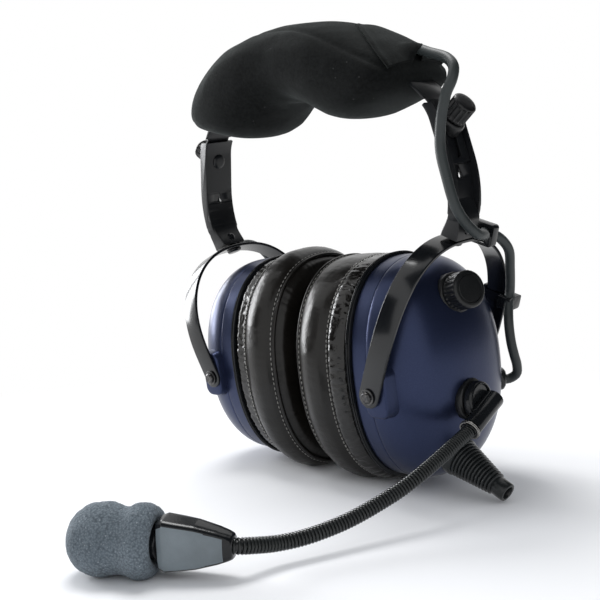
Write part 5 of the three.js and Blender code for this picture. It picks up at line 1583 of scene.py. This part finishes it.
def cover_flap():
    stations, across_flap = np.linspace(FLAP_FROM, FLAP_TO, 54), 48

    def flap_angle(s, k):
        return FLAP_BACK + (flap_edge(s) - FLAP_BACK) * k / across_flap

    lifts = np.zeros((len(stations), across_flap + 1))
    for i, s in enumerate(stations):
        for k in range(across_flap + 1):
            angle = flap_angle(s, k)
            hem = 0.5 * math.exp(-((k / across_flap - 0.955) / 0.035) ** 2)
            hem -= 0.35 * math.exp(-((k / across_flap - 0.88) / 0.02) ** 2)
            rise = smooth_step(FLAP_FROM, FLAP_FROM + 8, s)
            lift = -0.5 + rise * (1.7 + 0.4 * noise.noise(Vector((s * 0.12, angle * 2.2, 9))) + hem)
            lifts[i, k] = clear_of_lead(s, angle, lift)
    covered = lifts.copy()
    for _ in range(10):
        soft = lifts.copy()
        soft[1:-1, 1:-1] = (lifts[:-2, 1:-1] + lifts[2:, 1:-1] + lifts[1:-1, :-2] + lifts[1:-1, 2:]) / 4
        lifts = np.maximum(soft, covered * 0.96)
    rings = []
    for i, s in enumerate(stations):
        s = float(s)
        spots = [(flap_angle(s, k), float(lift)) for k, lift in enumerate(lifts[i])]
        outer = [pad_point(s, angle, lift) for angle, lift in spots]
        inner = [pad_point(s, angle, lift - 1.0 - 0.6 * (lift < 2.5)) for angle, lift in spots]
        rings.append(outer + inner[::-1])
    piece = finish_mesh("cover_flap", grid_mesh(rings), "headband", "middle", 60)
    print("flap lifted by", round(float(lifts.max()), 2), "mm at most")
    return paint(piece, VELOUR)


print(cover_flap().name)

# %% [markdown]
# ## Floor, backdrop and light
# The photograph is a high-key studio shot: white all round, so that black enamel and leather are
# drawn by broad white reflections. The floor is pale and keeps the shadow near the headset, and it
# fades to plain white further out.

# %% Floor and light
def floor_finish():
    f = Finish("studio_floor")
    here = f.place()
    centre = f.node("ShaderNodeVectorMath", {"operation": 'LENGTH'}, {0: here}, "Value")
    plain = f.node("ShaderNodeBsdfDiffuse", {}, {"Color": (0.93, 0.935, 0.95)})
    glow = f.node("ShaderNodeEmission", {}, {"Color": (1, 1, 1), "Strength": 1.0})
    camera_ray, glossy_ray = (f.node("ShaderNodeLightPath", out=name)
                              for name in ("Is Camera Ray", "Is Glossy Ray"))
    share = (centre.spread(0.13, 0.40) * camera_ray).most(centre.spread(0.05, 0.30) * glossy_ray)
    mixed = f.node("ShaderNodeMixShader", {}, {0: share, 1: plain, 2: glow})
    f.tree.links.new(mixed.socket, f.tree.nodes["Material Output"].inputs["Surface"])
    return f.material


bpy.ops.mesh.primitive_plane_add(size=8, location=(0, 0, 0))
floor = bpy.context.object
floor.name = "studio_floor"
paint(floor, floor_finish())
print("floor:", floor.name)

# %% [markdown]
# The world lights the headset evenly and dimly. What the camera, a reflection or a clear part sees of
# it is plain white.

# %% World
world = bpy.data.worlds.new("studio")
bpy.context.scene.world = world
world.use_nodes = True
sky = world.node_tree
fill_light = sky.nodes["Background"]
fill_light.inputs["Color"].default_value = (0.95, 0.97, 1.0, 1)
fill_light.inputs["Strength"].default_value = 0.6
white = sky.nodes.new("ShaderNodeBackground")
white.inputs["Color"].default_value = (1, 1, 1, 1)
white.inputs["Strength"].default_value = 1.0
rays = sky.nodes.new("ShaderNodeLightPath")


def larger(first, second):
    made = sky.nodes.new("ShaderNodeMath")
    made.operation = 'MAXIMUM'
    sky.links.new(first, made.inputs[0])
    sky.links.new(second, made.inputs[1])
    return made.outputs[0]


seen = larger(larger(rays.outputs["Is Camera Ray"], rays.outputs["Is Glossy Ray"]),
              rays.outputs["Is Transmission Ray"])
shown = sky.nodes.new("ShaderNodeMixShader")
sky.links.new(seen, shown.inputs[0])
sky.links.new(fill_light.outputs[0], shown.inputs[1])
sky.links.new(white.outputs[0], shown.inputs[2])
sky.links.new(shown.outputs[0], sky.nodes["World Output"].inputs["Surface"])
print("world:", world.name)

# %% [markdown]
# Black and navy lacquer look black only where they mirror something dark, so a studio sets black
# cards beside the camera and behind the object, out of the picture. Here only reflections see them.
# Three soft lamps then give the shadow and the long highlights.

# %% Black cards and lamps
def card_finish():
    f = Finish("black_card", Roughness=1.0, Specular_IOR_Level=0.0)
    here = f.place()
    f.set("Base Color", f.blend(f.noise(here, 30, 3), (0.010, 0.010, 0.011), (0.016, 0.016, 0.017)))
    return f.material


CARD = card_finish()


def black_card(name, azimuth, elevation, distance, wide, high):
    outward = Vector((cos(radians(elevation)) * cos(radians(azimuth)),
                      cos(radians(elevation)) * sin(radians(azimuth)), sin(radians(elevation))))
    mesh = bpy.data.meshes.new(name)
    level_way = Vector((-outward.y, outward.x, 0)).normalized()
    up_way = outward.cross(level_way)
    middle = outward * distance + Vector((0, 0, 0.1))
    corners = [middle + level_way * a * wide / 2 + up_way * b * high / 2
               for a, b in ((-1, -1), (1, -1), (1, 1), (-1, 1))]
    mesh.from_pydata([tuple(c) for c in corners], [], [(0, 1, 2, 3)])
    card = bpy.data.objects.new(name, mesh)
    bpy.context.scene.collection.objects.link(card)
    card.visible_camera = card.visible_diffuse = card.visible_shadow = card.visible_transmission = False
    return paint(card, CARD)


black_card("card_right", 35, 27, 0.85, 1.7, 1.05)
black_card("card_over", -40, 62, 1.4, 2.0, 1.0)
black_card("card_left", -128, 16, 1.5, 0.9, 0.9)


def softbox(name, place, target, size, power, color=(1, 1, 1)):
    light = bpy.data.lights.new(name, 'AREA')
    light.shape = 'RECTANGLE'
    light.size, light.size_y = size
    light.energy = power
    light.color = color
    lamp = bpy.data.objects.new(name, light)
    bpy.context.scene.collection.objects.link(lamp)
    lamp.location = place
    lamp.rotation_euler = (Vector(target) - Vector(place)).to_track_quat('-Z', 'Y').to_euler()
    return lamp


softbox("overhead", (-0.25, 0.1, 0.95), (0, 0, 0.1), (0.45, 0.36), 5.0)
softbox("window_left", (-1.1, -0.28, 0.36), (0, 0, 0.1), (0.34, 0.60), 8.5, (0.97, 0.98, 1))
softbox("window_back", (-1.12, 0.16, 0.38), (0, 0, 0.1), (0.30, 0.56), 4.2, (0.97, 0.98, 1))
scene = bpy.context.scene
scene.view_settings.view_transform = 'Standard'

# %% [markdown]
# ## Boxes as plain numbers
# A helper turns a box's corners into plain lists of numbers. The dressed headset has to stay
# inside the solids' box.

# %% Boxes and finish
def plain(bounds):
    return [[float(v) for v in corner] for corner in bounds]
